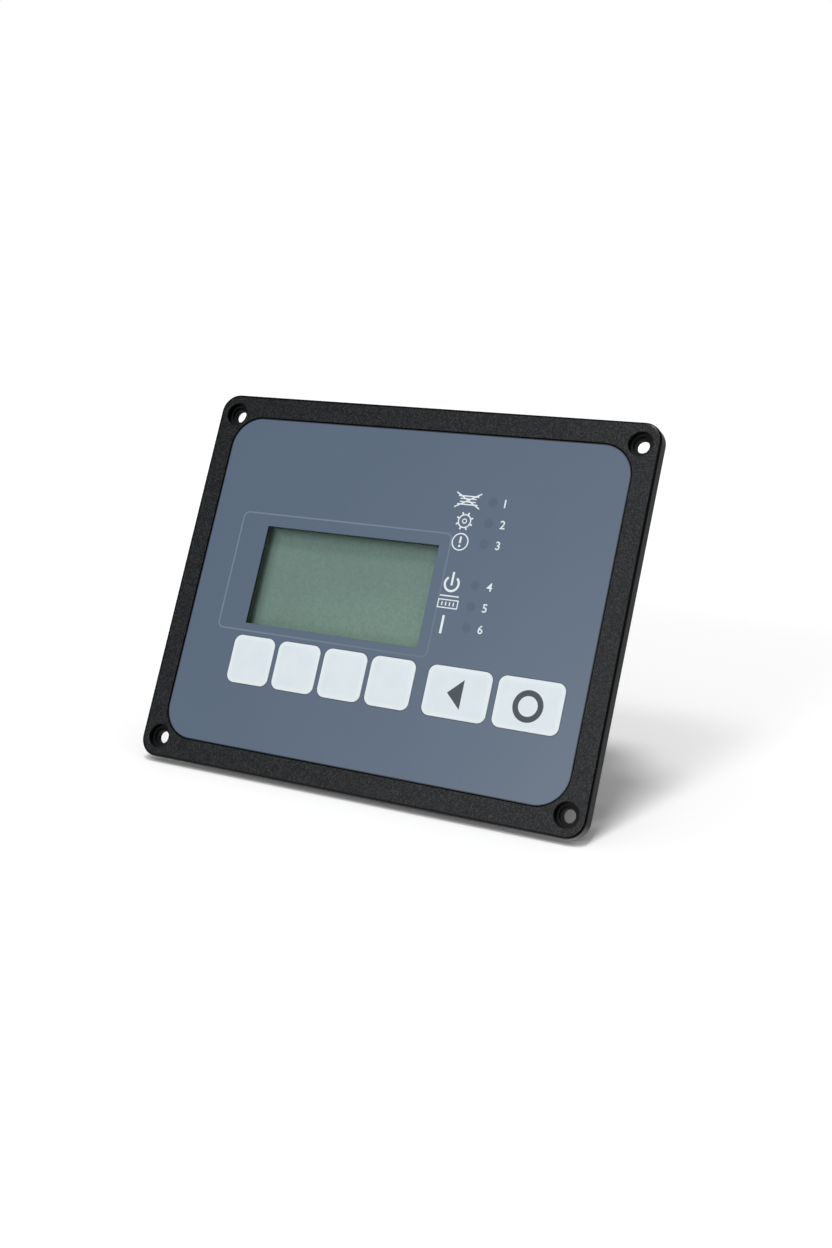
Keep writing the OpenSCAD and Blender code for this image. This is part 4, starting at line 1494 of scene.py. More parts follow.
class Print(Casting):
    """Flat shapes printed on a face that looks to the front.

    Attributes:
        height: How far the ink stands over the face.
        sunk: How far it reaches behind the face.
        layer_step: Share of the height that each further layer adds.
    """

    height: float = 0.012
    sunk: float = 0.02
    layer_step: float = 0.4

    def __init__(self, face_y: float) -> None:
        """Starts a print on the face at that depth.

        Args:
            face_y: Depth of the face.
        """
        super().__init__()
        self.front_y = face_y - self.height
        self.back_y = face_y + self.sunk

    def shape(self, outline: Sequence[Point], layer: int = 0) -> None:
        """Prints a shape. Crossing shapes take different layers, so that they share no face."""
        self.prism(outline, self.front_y - self.height * self.layer_step * layer, self.back_y)

    def bar(self, middle: Point, ends: tuple[Point, Point], width: float, layer: int = 0) -> None:
        """Prints a straight bar, whose ends are given from a middle."""
        line = [(middle[0] + x, middle[1] + z) for x, z in ends]
        self.shape(ribbon(line, width), layer)

    def ring(self, middle: Point, radius: float, width: float, steps: int = 48) -> None:
        """Prints a ring, where the radius is that of its line's middle."""
        inner, outer = (circle(middle, radius + side * width / 2, steps=steps) for side in (-1, 1))
        self.band(inner, outer, self.front_y, self.back_y)


@dataclass
class StatusPrint:
    """Signs left of the status lights and plain numbers right of them, printed on the film.

    Attributes:
        film_y: Depth of the film's face.
        sign_x: Place of the signs.
        line: Width of the signs' lines.
        thin: Width of their finer lines.
        number_x: Left edge of the numbers.
        number_height: Height of the numbers.
        number_weight: How much bolder than the font they are, in ems.
        shifts: How far each sign's middle lies from its place.
        barred_lines: Half length and rise of the barred panel's long and short lines.
        cross: Half the width and height of the cross over that panel.
        gear: Radius of the gear, of its hub, and of the roots and tips of its teeth.
        teeth: How many teeth it has.
        tooth_width: Width of a tooth.
        alert_radius: Radius of the alert sign.
        alert_bar: Upper and lower end and width of its bar.
        alert_dot: Height and radius of its dot.
        standby_radius: Radius of the standby sign.
        standby_gap: Its gap, in degrees.
        standby_bar: Upper and lower end and width of the bar in that gap.
        panel: Width and height of the panel's frame.
        panel_rim: Width of that frame's line.
        panel_top: Half length and rise of the line over it.
        panel_bars: Places of its bars.
        panel_reach: Half the height of those bars.
        run_bar: Half the height and the width of the last sign.
    """

    film_y: float = -4.7
    sign_x: float = 22.9
    line: float = 0.45
    thin: float = 0.36
    number_x: float = 36.4
    number_height: float = 3.0
    number_weight: float = 0.012
    shifts: tuple[Point, ...] = ((-0.3, 0), (0, 0), (0, 0), (0.3, -0.4), (0.4, -0.1), (-0.1, 0.1))
    barred_lines: tuple[Point, Point] = ((3.9, 1.5), (3.1, 0.55))
    cross: Point = (4.8, 2.7)
    gear: tuple[float, ...] = (2.3, 0.75, 2.5, 3.3)
    teeth: int = 8
    tooth_width: float = 0.585
    alert_radius: float = 2.95
    alert_bar: Place = (1.9, -0.5, 0.7)
    alert_dot: Point = (-1.5, 0.45)
    standby_radius: float = 2.6
    standby_gap: float = 76.0
    standby_bar: Place = (4.2, -0.6, 0.8)
    panel: Point = (7.8, 3.2)
    panel_rim: float = 0.4
    panel_top: Point = (3.6, 2.8)
    panel_bars: tuple[float, ...] = (-2.2, -0.75, 0.7, 2.15)
    panel_reach: float = 0.7
    run_bar: Point = (3.2, 0.9)

    def make(self) -> None:
        """Makes the signs and the numbers."""
        signs, numbers = Print(self.film_y), Print(self.film_y)
        drawn = (self._barred, self._gear, self._alert, self._standby, self._panel, self._run)
        rows = [top - LIGHT_PITCH * step for top, _ in LIGHT_ROWS for step in range(3)]
        for index, (draw, (across, up), z) in enumerate(zip(drawn, self.shifts, rows)):
            draw(signs, (self.sign_x + across, z + up))
            self._number(numbers, str(index + 1), z)
        settle(signs.finished("status_signs"), Finishes.SIGN)
        settle(numbers.finished("status_numbers"), Finishes.SIGN)

    def _barred(self, ink: Print, middle: Point) -> None:
        """Prints a panel of four lines with a cross over it.

        Args:
            ink: The print that takes it.
            middle: Middle of the sign.
        """
        for (half, rise), width in zip(self.barred_lines, (self.line, self.thin)):
            for z in (rise, -rise):
                ink.bar(middle, ((-half, z), (half, z)), width)
        x, z = self.cross
        ink.bar(middle, ((-x, z), (x, -z)), self.line, layer=1)
        ink.bar(middle, ((-x, -z), (x, z)), self.line, layer=2)

    def _gear(self, ink: Print, middle: Point) -> None:
        """Prints a gear with teeth and a hub.

        Args:
            ink: The print that takes it.
            middle: Middle of the sign.
        """
        radius, hub, root, tip = self.gear
        ink.ring(middle, radius, self.line)
        ink.ring(middle, hub, self.thin)
        for tooth in range(self.teeth):
            turn = math.tau * (tooth + 0.5) / self.teeth
            across, up = math.cos(turn), math.sin(turn)
            ink.bar(middle, ((root * across, root * up), (tip * across, tip * up)), self.tooth_width)

    def _alert(self, ink: Print, middle: Point) -> None:
        """Prints a ring around a bar and a dot.

        Args:
            ink: The print that takes it.
            middle: Middle of the sign.
        """
        ink.ring(middle, self.alert_radius, self.line)
        top, bottom, width = self.alert_bar
        ink.bar(middle, ((0, top), (0, bottom)), width)
        fall, radius = self.alert_dot
        ink.shape(circle((middle[0], middle[1] + fall), radius, steps=20))

    def _standby(self, ink: Print, middle: Point) -> None:
        """Prints an open ring with a bar in its gap.

        Args:
            ink: The print that takes it.
            middle: Middle of the sign.
        """
        top, bottom, width = self.standby_bar
        # The gap is at the top, at 90 degrees, and the line runs from its left edge round to its right one.
        arc = (90 + self.standby_gap / 2, 450 - self.standby_gap / 2)
        outer, inner = (circle(middle, self.standby_radius + side * width / 2, *arc) for side in (1, -1))
        ink.shape(outer + inner[::-1])
        ink.bar(middle, ((0, top), (0, bottom)), width)

    def _panel(self, ink: Print, middle: Point) -> None:
        """Prints a framed panel of upright bars with a line over it.

        Args:
            ink: The print that takes it.
            middle: Middle of the sign.
        """
        half, rise = self.panel_top
        ink.bar(middle, ((-half, rise), (half, rise)), self.line)
        frame = Rectangle(*self.panel, middle=middle)
        ink.band(frame.corners(-self.panel_rim), frame.corners(), ink.front_y, ink.back_y)
        for x in self.panel_bars:
            ink.bar(middle, ((x, -self.panel_reach), (x, self.panel_reach)), self.line)

    def _run(self, ink: Print, middle: Point) -> None:
        """Prints an upright bar."""
        reach, width = self.run_bar
        ink.bar(middle, ((0, -reach), (0, reach)), width)

    def _number(self, ink: Print, digits: str, z: float) -> None:
        """Prints a plain number, with its left edge at the numbers' edge.

        Args:
            ink: The print that takes it.
            digits: The number.
            z: Height of its middle.
        """
        text = bpy.data.curves.new("number", "FONT")
        text.body = digits
        # Half a unit to each side makes it one unit deep, which the scale below brings to the ink's depth.
        text.extrude = 0.5
        text.resolution_u = 8
        text.offset = self.number_weight
        holder = bpy.data.objects.new("number", text)
        bpy.context.scene.collection.objects.link(holder)
        bpy.context.view_layer.update()
        mesh = bpy.data.meshes.new_from_object(holder.evaluated_get(bpy.context.evaluated_depsgraph_get()))
        bpy.data.objects.remove(holder)
        bpy.data.curves.remove(text)
        left, bottom = (min(vertex.co[axis] for vertex in mesh.vertices) for axis in (0, 1))
        top = max(vertex.co.y for vertex in mesh.vertices)
        scale = self.number_height * MM / (top - bottom)
        thickness = (ink.back_y - ink.front_y) * MM
        centred = Matrix.Translation((-left, -(bottom + top) / 2, 0))
        sized = Matrix.Diagonal((scale, scale, thickness, 1)) @ centred
        upright = Matrix.Rotation(math.radians(90), 4, "X") @ sized
        place = (self.number_x * MM, (ink.front_y + ink.back_y) / 2 * MM, z * MM)
        ink.add(mesh, Matrix.Translation(place) @ upright)


@dataclass
class KeySigns:
    """The arrow on the back key and the ring on the stop key."""

    key_y: float = -4.9
    arrow: tuple[Point, ...] = ((30.2, -29.75), (35.75, -34.9), (35.75, -24.6))
    ring_middle: Point = (59.95, -30.0)
    ring_radius: float = 4.45
    ring_width: float = 2.0

    def make(self) -> None:
        """Makes both signs."""
        arrow, ring = Print(self.key_y), Print(self.key_y)
        arrow.shape(self.arrow)
        settle(arrow.finished("back_key_arrow"), Finishes.KEY_SIGN, "back_key")
        ring.ring(self.ring_middle, self.ring_radius, self.ring_width, steps=72)
        settle(ring.finished("stop_key_ring"), Finishes.KEY_SIGN, "stop_key")


@dataclass
class ContactField:
    """Square contacts with tapered tips, in the place of a node of plain pins."""

    node: str
    name: str
    slot: Slot
    finish: Finishes
    ways: int
    rows: int
    width: float = 1.0
    tip: float = 1.0
    tip_share: float = 0.4

    def make(self) -> None:
        """Makes the contacts."""
        pins = Extent.of(self.node)
        tree = Pattern(self.name)
        width = tree.size("Pin width", self.width)
        length = tree.size("Pin length", pins.size.y)
        tip = tree.size("Tip length", self.tip)
        share = tree.size("Tip share", self.tip_share)
        x, y, z = tree.axes()
        narrow = 1 - ((y - length / 2 + tip) / tip).most(0) * (1 - share)
        pin = tree.reshaped(tree.block(width, length, width, points=(2, 14, 2)), x * narrow, y, z * narrow)
        field_of_pins = tree.grid(pin, self.ways, self.rows, pins.pitches(self.ways, self.rows, self.width))
        mesh = tree.grown(field_of_pins, self.finish, pins.middle)
        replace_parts(settle(mesh, self.finish), self.node)


@dataclass
class JointField:
    """Solder joints round the tails of a node's pins, on one face of a board.

    Attributes:
        name: Name of the piece.
        node: The node whose pins end there.
        board_y: Depth of the board's face.
        ways: How many pins lie side by side.
        rows: How many lie above each other.
        room: Width and height that the node's box has round a single pin.
        towards: -1 where the joints stand to the front and 1 where they stand to the back.
        foot: Radius of a joint at the board.
        neck: Radius at its end.
        height: Its height.
        hollow: How strongly its side is drawn in.
    """

    name: str
    node: str
    board_y: float
    ways: int
    rows: int = 1
    room: float = 1.0
    towards: int = -1
    foot: float = 0.95
    neck: float = 0.36
    height: float = 1.0
    hollow: float = 1.1

    def make(self) -> None:
        """Makes the joints."""
        pins = Extent.of(self.node)
        tree = Pattern(self.name)
        radii = {
            "Radius Top": tree.size("Neck radius", self.neck),
            "Radius Bottom": tree.size("Foot radius", self.foot),
        }
        height = tree.size("Height", self.height)
        counts = {"Vertices": 14, "Side Segments": 6}
        cone = tree.node("GeometryNodeMeshCone", {**counts, **radii, "Depth": height})
        x, y, z = tree.axes()
        risen = z / height
        drawn = 1 - risen * (1 - risen) * self.hollow
        flared = tree.reshaped(cone, x * drawn, y * drawn, z)
        joint = tree.moved(flared, turn=(-self.towards * math.pi / 2, 0, 0))
        whole = tree.grid(joint, self.ways, self.rows, pins.pitches(self.ways, self.rows, self.room))
        mesh = tree.grown(whole, Finishes.SOLDER, pins.middle_at(self.board_y))
        settle(mesh, Finishes.SOLDER)


@dataclass
class LeadRows:
    """Bent leads along the sides of a node's chips, which lie in a grid.

    Attributes:
        name: Name of the piece.
        node: The node of chips.
        board_y: Depth of the board's face.
        half_body: How far a chip's body reaches from its middle.
        leads: How many leads a side has.
        pitch: Distance from one lead to the next.
        width: Width of a lead.
        sides: How many sides have leads.
        columns: How many chips lie side by side.
        rows: How many lie above each other.
        pitches: Step from one column to the next, and from one row to the next.
        reach: How far a lead runs to the side.
        rise: How high it begins over the board.
        bend: Shares of the reach between which it comes down.
        thickness: Its thickness.
        inner: How far it begins inside the body.
    """

    name: str
    node: str
    board_y: float
    half_body: float
    leads: int
    pitch: float
    width: float
    sides: int = 2
    columns: int = 1
    rows: int = 1
    pitches: Point = (0.0, 0.0)
    reach: float = 1.5
    rise: float = 0.75
    bend: Point = (0.3, 0.72)
    thickness: float = 0.15
    inner: float = 0.15

    def make(self) -> None:
        """Makes the leads."""
        tree = Pattern(self.name)
        reach, rise = tree.size("Reach", self.reach), tree.size("Rise", self.rise)
        thickness, width = tree.size("Thickness", self.thickness), tree.size("Lead width", self.width)
        x, y, z = tree.axes()
        lifted = (x / reach + 0.5).rise(*self.bend[::-1]) * rise
        strip = tree.block(reach, thickness, width, points=(15, 2, 2))
        lead = tree.reshaped(strip, x, y + lifted + thickness / 2, z)
        out = tree.size("Body half", self.half_body) - self.inner
        lead = tree.moved(lead, tree.vector(out + reach / 2))
        line = tree.row(tree.size("Leads", self.leads), 0.0, tree.size("Lead pitch", self.pitch))
        side = tree.planted(line, lead)
        turn = tree.node("GeometryNodeInputIndex") * (2 * math.pi / self.sides)
        chip = tree.planted(tree.row(tree.size("Sides", self.sides)), side, tree.vector(0.0, turn, 0.0))
        whole = tree.grid(chip, self.columns, self.rows, self.pitches)
        middle = Extent.of(self.node).middle_at(self.board_y)
        settle(tree.grown(whole, Finishes.TIN, middle), Finishes.TIN)


@dataclass
class SmallParts:
    """Chip resistors and capacitors in loose rows between the larger parts of the main board.

    Attributes:
        board_y: Depth of the board's face.
        taken: The areas that they keep clear of.
        clearance: How far they keep from those.
        spread: Width and height of the field that they lie in.
        columns: How many places it has side by side.
        rows: How many places it has above each other.
        share: Share of the places that are used.
        seed: Seed of the draws.
        length: Length of a part.
        width: Its width.
        thickness: Its thickness.
        cap: Length of its soldered ends.
        wrap: How far the ends stand over its body.
        inset: How far the body's ends lie inside the solder.
        waist: Share by which the body is thinner between its ends.
        waist_ends: Shares of the length from its middle at which that begins and is whole.
        slope: How far the solder runs out at its foot.
    """

    board_y: float
    taken: tuple[Rectangle, ...]
    clearance: float = 1.9
    spread: Point = (116.0, 78.0)
    columns: int = 20
    rows: int = 17
    share: float = 0.34
    seed: int = 7
    length: float = 2.0
    width: float = 1.25
    thickness: float = 0.55
    cap: float = 0.42
    wrap: float = 0.03
    inset: float = 0.04
    waist: float = 0.04
    waist_ends: Point = (0.36, 0.28)
    slope: float = 0.45

    def make(self) -> None:
        """Makes the bodies and their soldered ends."""
        for name, slot, finish, build in (
            ("small_part_bodies", Slot.CHIP, Finishes.CERAMIC, self._body),
            ("small_part_ends", Slot.TIN, Finishes.SOLDER, self._ends),
        ):
            tree = Pattern(name)
            length, width = tree.size("Length", self.length), tree.size("Width", self.width)
            part = build(tree, length, width, tree.size("Thickness", self.thickness))
            turned = self._draw(tree, self.seed + 1).rounded() * (math.pi / 2)
            whole = tree.planted(self._places(tree), part, tree.vector(0.0, turned, 0.0))
            settle(tree.grown(whole, finish, (0.0, self.board_y, 0.0)), finish)

    @staticmethod
    def _draw(tree: Pattern, seed: int) -> Wire:
        """Draws a number from 0 to 1 for each place."""
        return tree.node("FunctionNodeRandomValue", {"Seed": seed}, 1, data_type="FLOAT")

    def _body(self, tree: Pattern, length: Wire, width: Wire, thickness: Wire) -> Wire:
        """Makes one body, a little waisted between its ends.

        Args:
            tree: The tree under construction.
            length: Length of a part.
            width: Its width.
            thickness: Its thickness.

        Returns:
            The body.
        """
        x, y, z = tree.axes()
        drawn = 1 - abs(x / length).rise(*self.waist_ends) * self.waist
        less = 2 * self.wrap
        block = tree.block(length - 2 * self.inset, thickness - less, width - less, points=(9, 2, 2))
        return tree.moved(tree.reshaped(block, x, y * drawn, z * drawn), tree.vector(0.0, thickness / 2))

    def _ends(self, tree: Pattern, length: Wire, width: Wire, thickness: Wire) -> Wire:
        """Makes the two caps of one part, with solder that slopes to the board.

        Args:
            tree: The tree under construction.
            length: Length of a part.
            width: Its width.
            thickness: Its thickness.

        Returns:
            The caps.
        """
        cap = tree.size("Cap length", self.cap)
        x, y, z = tree.axes()
        low = 0.5 - y / thickness
        sloped = x + (x / cap + 0.5) * low * low * self.slope
        block = tree.reshaped(tree.block(cap, thickness, width, points=(4, 5, 2)), sloped, y, z)
        right = tree.moved(block, tree.vector((length - cap) / 2, thickness / 2))
        return tree.joined(right, tree.moved(right, turn=(0, math.pi, 0)))

    def _places(self, tree: Pattern) -> Wire:
        """Lays the grid of places and clears those that are taken, and a share of the others.

        Args:
            tree: The tree under construction.

        Returns:
            The places.
        """
        line = tree.row(self.columns, self.spread[0] / (self.columns - 1))
        grid = tree.planted(tree.row(self.rows, 0.0, self.spread[1] / (self.rows - 1)), line)
        points = tree.node("GeometryNodeRealizeInstances", {"Geometry": grid})
        empty = tree.sum("GREATER_THAN", self._draw(tree, self.seed), tree.size("Share kept", self.share))
        for area in self.taken:
            empty = empty.most(tree.sum("LESS_THAN", tree.outside(area), self.clearance))
        sockets = {"Geometry": points, "Selection": empty}
        return tree.node("GeometryNodeDeleteGeometry", sockets, domain="POINT")


@dataclass
class ScrewThreads:
    """Threads on the shanks of the rear cover's four screws."""

    ends: Point = (0.3, 5.6)
    radius: float = 1.42
    pitch: float = 0.5
    ridge: float = 0.26

    def make(self) -> None:
        """Makes the threads."""
        tree = Pattern("cover_screw_threads")
        begins, ends = self.ends
        length = ends - begins
        radius, ridge = tree.size("Shank radius", self.radius), tree.size("Ridge", self.ridge)
        thread = tree.coil((radius, radius), length, length / self.pitch, ridge, points=(20, 3))
        whole = tree.grid(thread, 2, 2, (2 * COVER_SCREW[0], 2 * COVER_SCREW[1]))
        tip_y = Extent.of("cover_screws").low.y
        settle(tree.grown(whole, Finishes.STEEL, (0.0, tip_y + begins, 0.0)), Finishes.STEEL)


@dataclass
class ChokeWinding:
    """The copper winding that shows in the choke's round opening."""

    wire: float = 0.34
    radii: Point = (1.5, 4.0)
    sunk: float = 0.42

    def make(self) -> None:
        """Makes the winding."""
        choke = Extent.of("power_choke")
        tree = Pattern("choke_winding")
        inner, outer = tree.size("Inner radius", self.radii[0]), tree.size("Outer radius", self.radii[1])
        turns = (self.radii[1] - self.radii[0]) / (2 * self.wire)
        wire = tree.size("Wire radius", self.wire)
        coil = tree.coil((inner, outer), 0.0, turns, wire, points=(40, 10))
        mesh = tree.grown(coil, Finishes.COPPER, choke.middle_at(choke.high.y - self.sunk))
        settle(mesh, Finishes.COPPER)


@dataclass(frozen=True)
class Bundle:
    """Tracks that run side by side."""

    line: tuple[Point, ...]
    tracks: int
    pitch: float = 0.9
    width: float = 0.3


@dataclass
class BoardPrint:
    """Tracks under the mask and plain outlines round the parts, on the back of the main board."""

    board_y: float
    track_height: float = 0.04
    ink_height: float = 0.02
    sunk: float = 0.01
    marked: tuple[str, ...] = (
        "processor",
        "power_choke",
        "crystal_can",
        "harness_header",
        "terminal_header",
    )
    mark_gap: float = 1.3
    mark_width: float = 0.2
    bundles: tuple[Bundle, ...] = (
        Bundle(((-37.0, -24.0), (-37.0, 4.0), (-25.0, 16.0), (-6.5, 16.0)), 6),
        Bundle(((-16.0, -24.0), (-16.0, -10.0), (-4.0, 2.0), (-4.0, 12.5)), 5),
        Bundle(((20.0, -27.0), (20.0, -6.0), (8.0, 6.0), (8.0, 12.5)), 4, 1.0, 0.35),
        Bundle(((34.0, -27.0), (34.0, 0.0), (45.0, 11.0), (45.0, 30.0)), 3, 2.6, 1.5),
        Bundle(((-4.0, 31.5), (-4.0, 33.5), (-30.0, 33.5)), 4, 0.8),
        Bundle(((11.0, 24.0), (20.0, 24.0), (24.0, 28.0), (24.0, 42.0)), 5, 0.8),
        Bundle(((-50.0, 40.0), (-50.0, -20.0), (-56.0, -26.0), (-56.0, -42.0)), 4, 1.2, 0.5),
        Bundle(((-46.0, 10.0), (-38.0, 18.0), (-31.0, 18.0)), 3),
        Bundle(((60.0, 40.0), (60.0, -18.0), (52.0, -26.0), (44.0, -26.0)), 3, 1.6, 0.9),
    )

    def make(self) -> None:
        """Makes the tracks and the outlines."""
        front_y, back_y = self.board_y - self.sunk, self.board_y + self.track_height
        tracks, marks = Casting(), Casting()
        for bundle in self.bundles:
            for i in range(bundle.tracks):
                shift = (i - (bundle.tracks - 1) / 2) * bundle.pitch
                tracks.prism(ribbon(beside(bundle.line, shift), bundle.width), front_y, back_y)
        settle(tracks.finished("board_tracks"), Finishes.TRACK)
        for name in self.marked:
            part = Extent.of(name).outline()
            inner, outer = part.corners(self.mark_gap), part.corners(self.mark_gap + self.mark_width)
            marks.band(inner, outer, front_y, back_y + self.ink_height)
        settle(marks.finished("board_marks"), Finishes.BOARD_MARK)


@dataclass
class BoardWork:
    """Everything small on and around the main board."""

    mounted: tuple[str, ...] = (
        "processor",
        "driver_chips",
        "crystal_can",
        "power_choke",
        "supply_capacitors",
        "harness_header",
        "terminal_header",
        "board_header",
    )
    screw: Point = (54.5, 45.8)
    screw_room: float = 8.0
    header_pitch: float = 2.54

    def make(self) -> None:
        """Makes the contacts, joints, leads, small parts, threads and print."""
        board = Extent.of("main_board")
        front, back = board.low.y, board.high.y
        ContactField("harness_pins", "harness_contacts", Slot.GOLD, Finishes.GOLD, ways=6, rows=2).make()
        ContactField("terminal_pins", "terminal_contacts", Slot.TIN, Finishes.TIN, ways=8, rows=1).make()
        JointField("harness_joints", "harness_pins", front, ways=6, rows=2).make()
        JointField("terminal_joints", "terminal_pins", front, ways=8).make()
        JointField(
            "board_header_joints", "board_header", back, ways=20, room=self.header_pitch, towards=1, foot=0.85
        ).make()
        LeadRows(
            "processor_leads", "processor", back, half_body=7.0, leads=16, pitch=0.8, width=0.34, sides=4
        ).make()
        LeadRows(
            "chip_leads",
            "driver_chips",
            back,
            half_body=3.1,
            leads=4,
            pitch=1.27,
            width=0.42,
            columns=2,
            rows=2,
            pitches=(14.0, 12.0),
            reach=1.2,
        ).make()
        SmallParts(back, self._taken()).make()
        ChokeWinding().make()
        ScrewThreads().make()
        BoardPrint(back).make()

    def _taken(self) -> tuple[Rectangle, ...]:
        """Gives the areas that small parts keep clear of.

        Returns:
            The areas.
        """
        corners = ((side * self.screw[0], end * self.screw[1]) for side in (-1, 1) for end in (-1, 1))
        rooms = (Rectangle(self.screw_room, self.screw_room, middle=corner) for corner in corners)
        return (*(Extent.of(name).outline() for name in self.mounted), *rooms)


@dataclass
class Studio:
    """The camera of the photograph, a pale floor and soft light.

    The display leans back with its lower edge and its housing on the floor. In the model's frame it is the
    floor that is tilted about X.

    Attributes:
        camera_place: Place of the camera, in metres.
        camera_right: Direction to the right of the picture.
        camera_down: Direction down the picture.
        camera_ahead: Direction into the picture.
        lens: Focal length of the camera.
        sensor: Longer side of its sensor.
        clip: Nearest and furthest distance that it sees, in metres.
        floor_up: Direction up from the floor.
        floor_point: A point of the floor, in metres.
        floor_half: Half the floor's width, in metres.
        floor_albedo: Share of the light that the floor throws back.
        floor_seen: The same share where it is looked at.
        white: Brightness of the room where it is looked at.
        sky: Brightness of its even light.
        mirrored: Least and greatest brightness that gloss mirrors from the front.
        mirrored_over: Directions to the right between which it grows.
        mirrored_end: Directions to the right between which it ends.
        mirrored_down: Part of the direction up that those directions lose.
        mirrored_front: Directions to the back between which the whole front light ends.
        behind: Brightness that gloss mirrors from behind.
        behind_over: Directions to the back between which it grows.
        behind_low: Directions up between which it begins, which lie under the back's middle.
        dark_ring: Radius and width, inner and outer, of a darker ring in it.
        dark_ring_share: Share of the brightness that is left in that ring.
        side: Brightness that gloss mirrors from the upper right behind.
        side_over: Directions to the back between which it grows.
        side_up: Directions to the upper right between which it grows.
        flank: Brightness that gloss mirrors from both sides.
        flank_over: Directions to a side between which it grows.
        arc_bearing: Bearing of the arc of lamps, in degrees.
        arc_spread: Angle that each lamp covers, in degrees.
        arc: Height in degrees and strength of each lamp.
    """

    camera_place: Place = (0.2467, -0.4612, -0.0855)
    camera_right: Place = (0.884089, 0.416431, 0.212064)
    camera_down: Place = (0.124424, 0.227652, -0.965760)
    camera_ahead: Place = (-0.450450, 0.880204, 0.149451)
    lens: float = 43.45
    sensor: float = 36.0
    clip: Point = (0.01, 50.0)
    floor_up: Place = (0.0, -0.4538, 0.8911)
    floor_point: Place = (0.0, 0.0, -0.0702)
    floor_half: float = 6.0
    floor_albedo: float = 0.8
    floor_seen: float = 1.1
    white: float = 1.0
    sky: float = 0.41
    mirrored: Point = (0.07, 0.46)
    mirrored_over: Point = (-0.75, -0.35)
    mirrored_end: Point = (0.15, -0.15)
    mirrored_down: float = 0.5
    mirrored_front: Point = (0.1, 0.0)
    behind: float = 0.95
    behind_over: Point = (0.0, 0.4)
    behind_low: Point = (0.05, -0.25)
    dark_ring: Place = (0.49, 0.04, 0.2)
    dark_ring_share: float = 0.12
    side: float = 0.3
    side_over: Point = (0.3, 0.7)
    side_up: Point = (-0.2, 0.2)
    flank: float = 0.3
    flank_over: Point = (0.84, 0.96)
    arc_bearing: float = 77.0
    arc_spread: float = 14.0
    arc: tuple[Point, ...] = ((25.0, 0.52), (60.0, 0.43), (86.0, 1.14))

    def build(self) -> None:
        """Builds the camera, the floor, the lamps and the world."""
        self._camera()
        self._floor()
        self._lamp_arc()
        self._world()

    def _floor_axes(self) -> tuple[Vector, Vector, Vector]:
        """Gives the directions across the floor, along it and up from it."""
        across, up = Vector((1, 0, 0)), Vector(self.floor_up).normalized()
        return across, up.cross(across), up

    def _camera(self) -> None:
        """Places the camera."""
        made = bpy.data.cameras.new("photo_camera")
        made.lens = self.lens
        made.sensor_width = self.sensor
        made.clip_start, made.clip_end = self.clip
        camera = bpy.data.objects.new("photo_camera", made)
        right, up, back = Vector(self.camera_right), -Vector(self.camera_down), -Vector(self.camera_ahead)
        turn = Matrix((right, up, back)).transposed().to_4x4()
        camera.matrix_world = Matrix.Translation(self.camera_place) @ turn
        bpy.context.scene.collection.objects.link(camera)
        bpy.context.scene.camera = camera

    @staticmethod
    def _rays(wiring: Wiring) -> tuple[Wire, Wire]:
        """Gives 1 for rays that look, from the camera or through clear pieces, and 1 for rays off gloss."""
        camera = wiring.node("ShaderNodeLightPath", out="Is Camera Ray")
        return camera.most(camera.other("Is Transmission Ray")), camera.other("Is Glossy Ray")

    def _floor(self) -> None:
        """Lays the floor, which is clear to gloss, and from below so that the back can be looked at."""
        across, along, _ = self._floor_axes()
        corners = Rectangle(2 * self.floor_half, 2 * self.floor_half).corners()
        mesh = bpy.data.meshes.new("floor")
        mesh.from_pydata(
            [Vector(self.floor_point) + across * x + along * y for x, y in corners], [], [(0, 1, 2, 3)]
        )
        floor = bpy.data.objects.new("floor", mesh)
        bpy.context.scene.collection.objects.link(floor)
        surface = Surface("pale_floor")
        seen, glossy = self._rays(surface)
        pale, bright = ((shade,) * 3 for shade in (self.floor_albedo, self.floor_seen))
        top = surface.node("ShaderNodeBsdfDiffuse", {"Color": surface.blend(seen, pale, bright)})
        clear = surface.node("ShaderNodeBsdfTransparent")
        hidden = glossy.most(surface.node("ShaderNodeNewGeometry", out="Backfacing"))
        shader = surface.node("ShaderNodeMixShader", {0: hidden, 1: top, 2: clear})
        mesh.materials.append(surface.close(shader))

    def _lamp_arc(self) -> None:
        """Hangs soft lamps from low in front to overhead, so that the shadow fades as it runs back."""
        across, along, up = self._floor_axes()
        bearing = math.radians(self.arc_bearing)
        away = across * math.cos(bearing) + along * math.sin(bearing)
        for degrees, strength in self.arc:
            lamp = bpy.data.lights.new("arc_lamp", "SUN")
            lamp.energy = strength
            lamp.angle = math.radians(self.arc_spread)
            holder = bpy.data.objects.new("arc_lamp", lamp)
            height = math.radians(degrees)
            towards = up * math.sin(height) - away * math.cos(height)
            holder.rotation_euler = towards.to_track_quat("Z", "Y").to_euler()
            bpy.context.scene.collection.objects.link(holder)

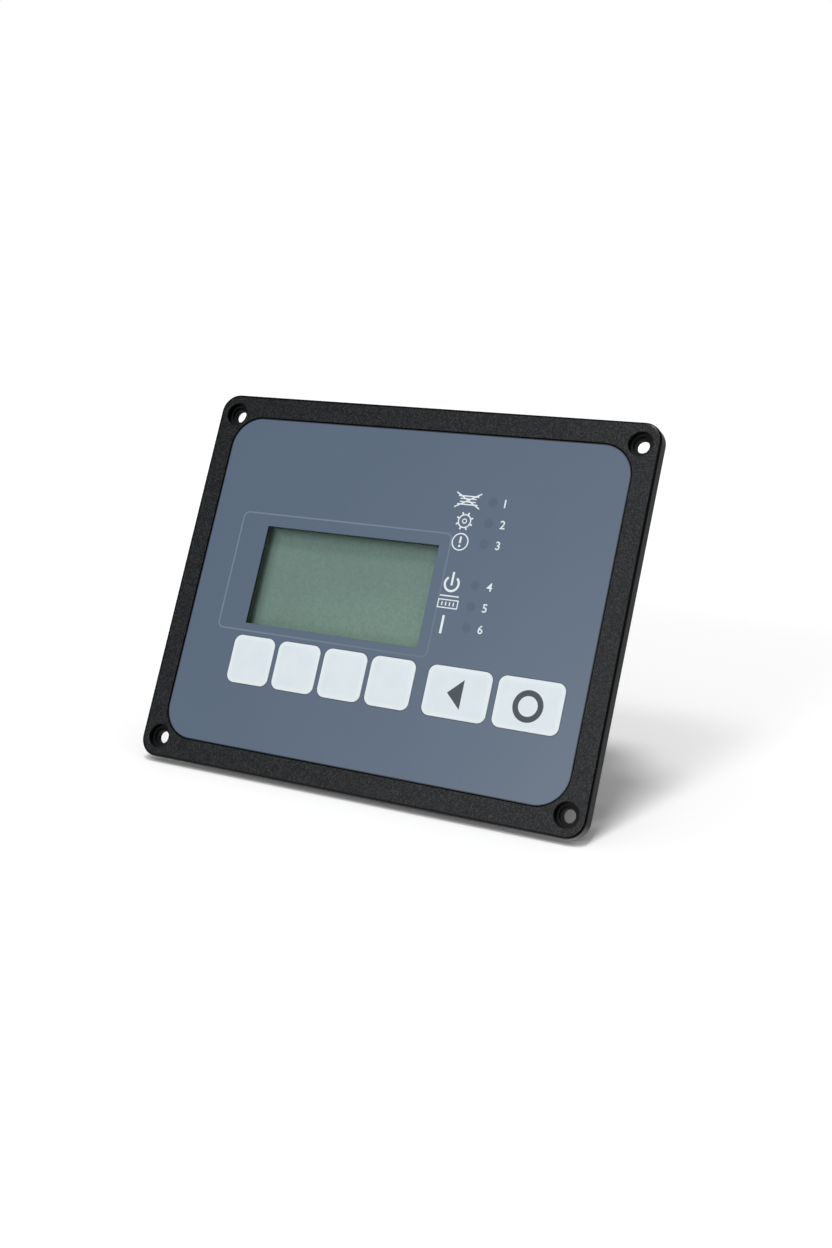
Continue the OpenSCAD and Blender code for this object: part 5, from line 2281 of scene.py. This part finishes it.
    def _world(self) -> None:
        """Sets the even light, the white behind the object and the softer light that gloss mirrors."""
        world = bpy.data.worlds.new("pale_room")
        world.use_nodes = True
        bpy.context.scene.world = world
        wiring = Wiring(world.node_tree)
        seen, glossy = self._rays(wiring)
        right, back, up = wiring.axes(wiring.node("ShaderNodeTexCoord", out="Generated"))
        mirror = self._front_light(right, back, up).most(self._back_light(right, back, up))
        strength = seen * self.white + glossy * mirror + (1 - seen.most(glossy)) * self.sky
        light = wiring.node("ShaderNodeBackground", {"Color": (1.0, 1.0, 1.0), "Strength": strength})
        wiring.node("ShaderNodeOutputWorld", {"Surface": light})

    def _front_light(self, right: Wire, back: Wire, up: Wire) -> Wire:
        """Gives what gloss mirrors from the front, brighter to the right and then dark.

        Args:
            right: How far right a ray goes.
            back: How far back it goes.
            up: How far up it goes.

        Returns:
            The brightness.
        """
        low, high = self.mirrored
        bright = (right - up * self.mirrored_down).rise(*self.mirrored_over) * (high - low) + low
        return bright * right.rise(*self.mirrored_end) * back.rise(*self.mirrored_front)

    def _back_light(self, right: Wire, back: Wire, up: Wire) -> Wire:
        """Gives what gloss mirrors from behind and from the sides.

        Args:
            right: How far right a ray goes.
            back: How far back it goes.
            up: How far up it goes.

        Returns:
            The brightness.
        """
        radius, *width = self.dark_ring
        share = self.dark_ring_share
        ring = abs(right.reach(up) - radius).rise(*width) * (1 - share) + share
        behind = back.rise(*self.behind_over) * up.rise(*self.behind_low) * ring * self.behind
        side = back.rise(*self.side_over) * (right + up).rise(*self.side_up) * self.side
        return behind.most(side.most(abs(right).rise(*self.flank_over) * self.flank))


def main() -> None:
    """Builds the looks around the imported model."""
    logging.basicConfig(level=logging.INFO, format="%(name)s: %(message)s")
    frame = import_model()
    bpy.context.scene.view_settings.view_transform = "Standard"
    Studio().build()
    Carcass(frame["nodes"]).dress()
    StatusPrint().make()
    KeySigns().make()
    BoardWork().make()
    bpy.context.view_layer.update()
    LOG.info("boxes written")


if __name__ == "__main__":
    main()
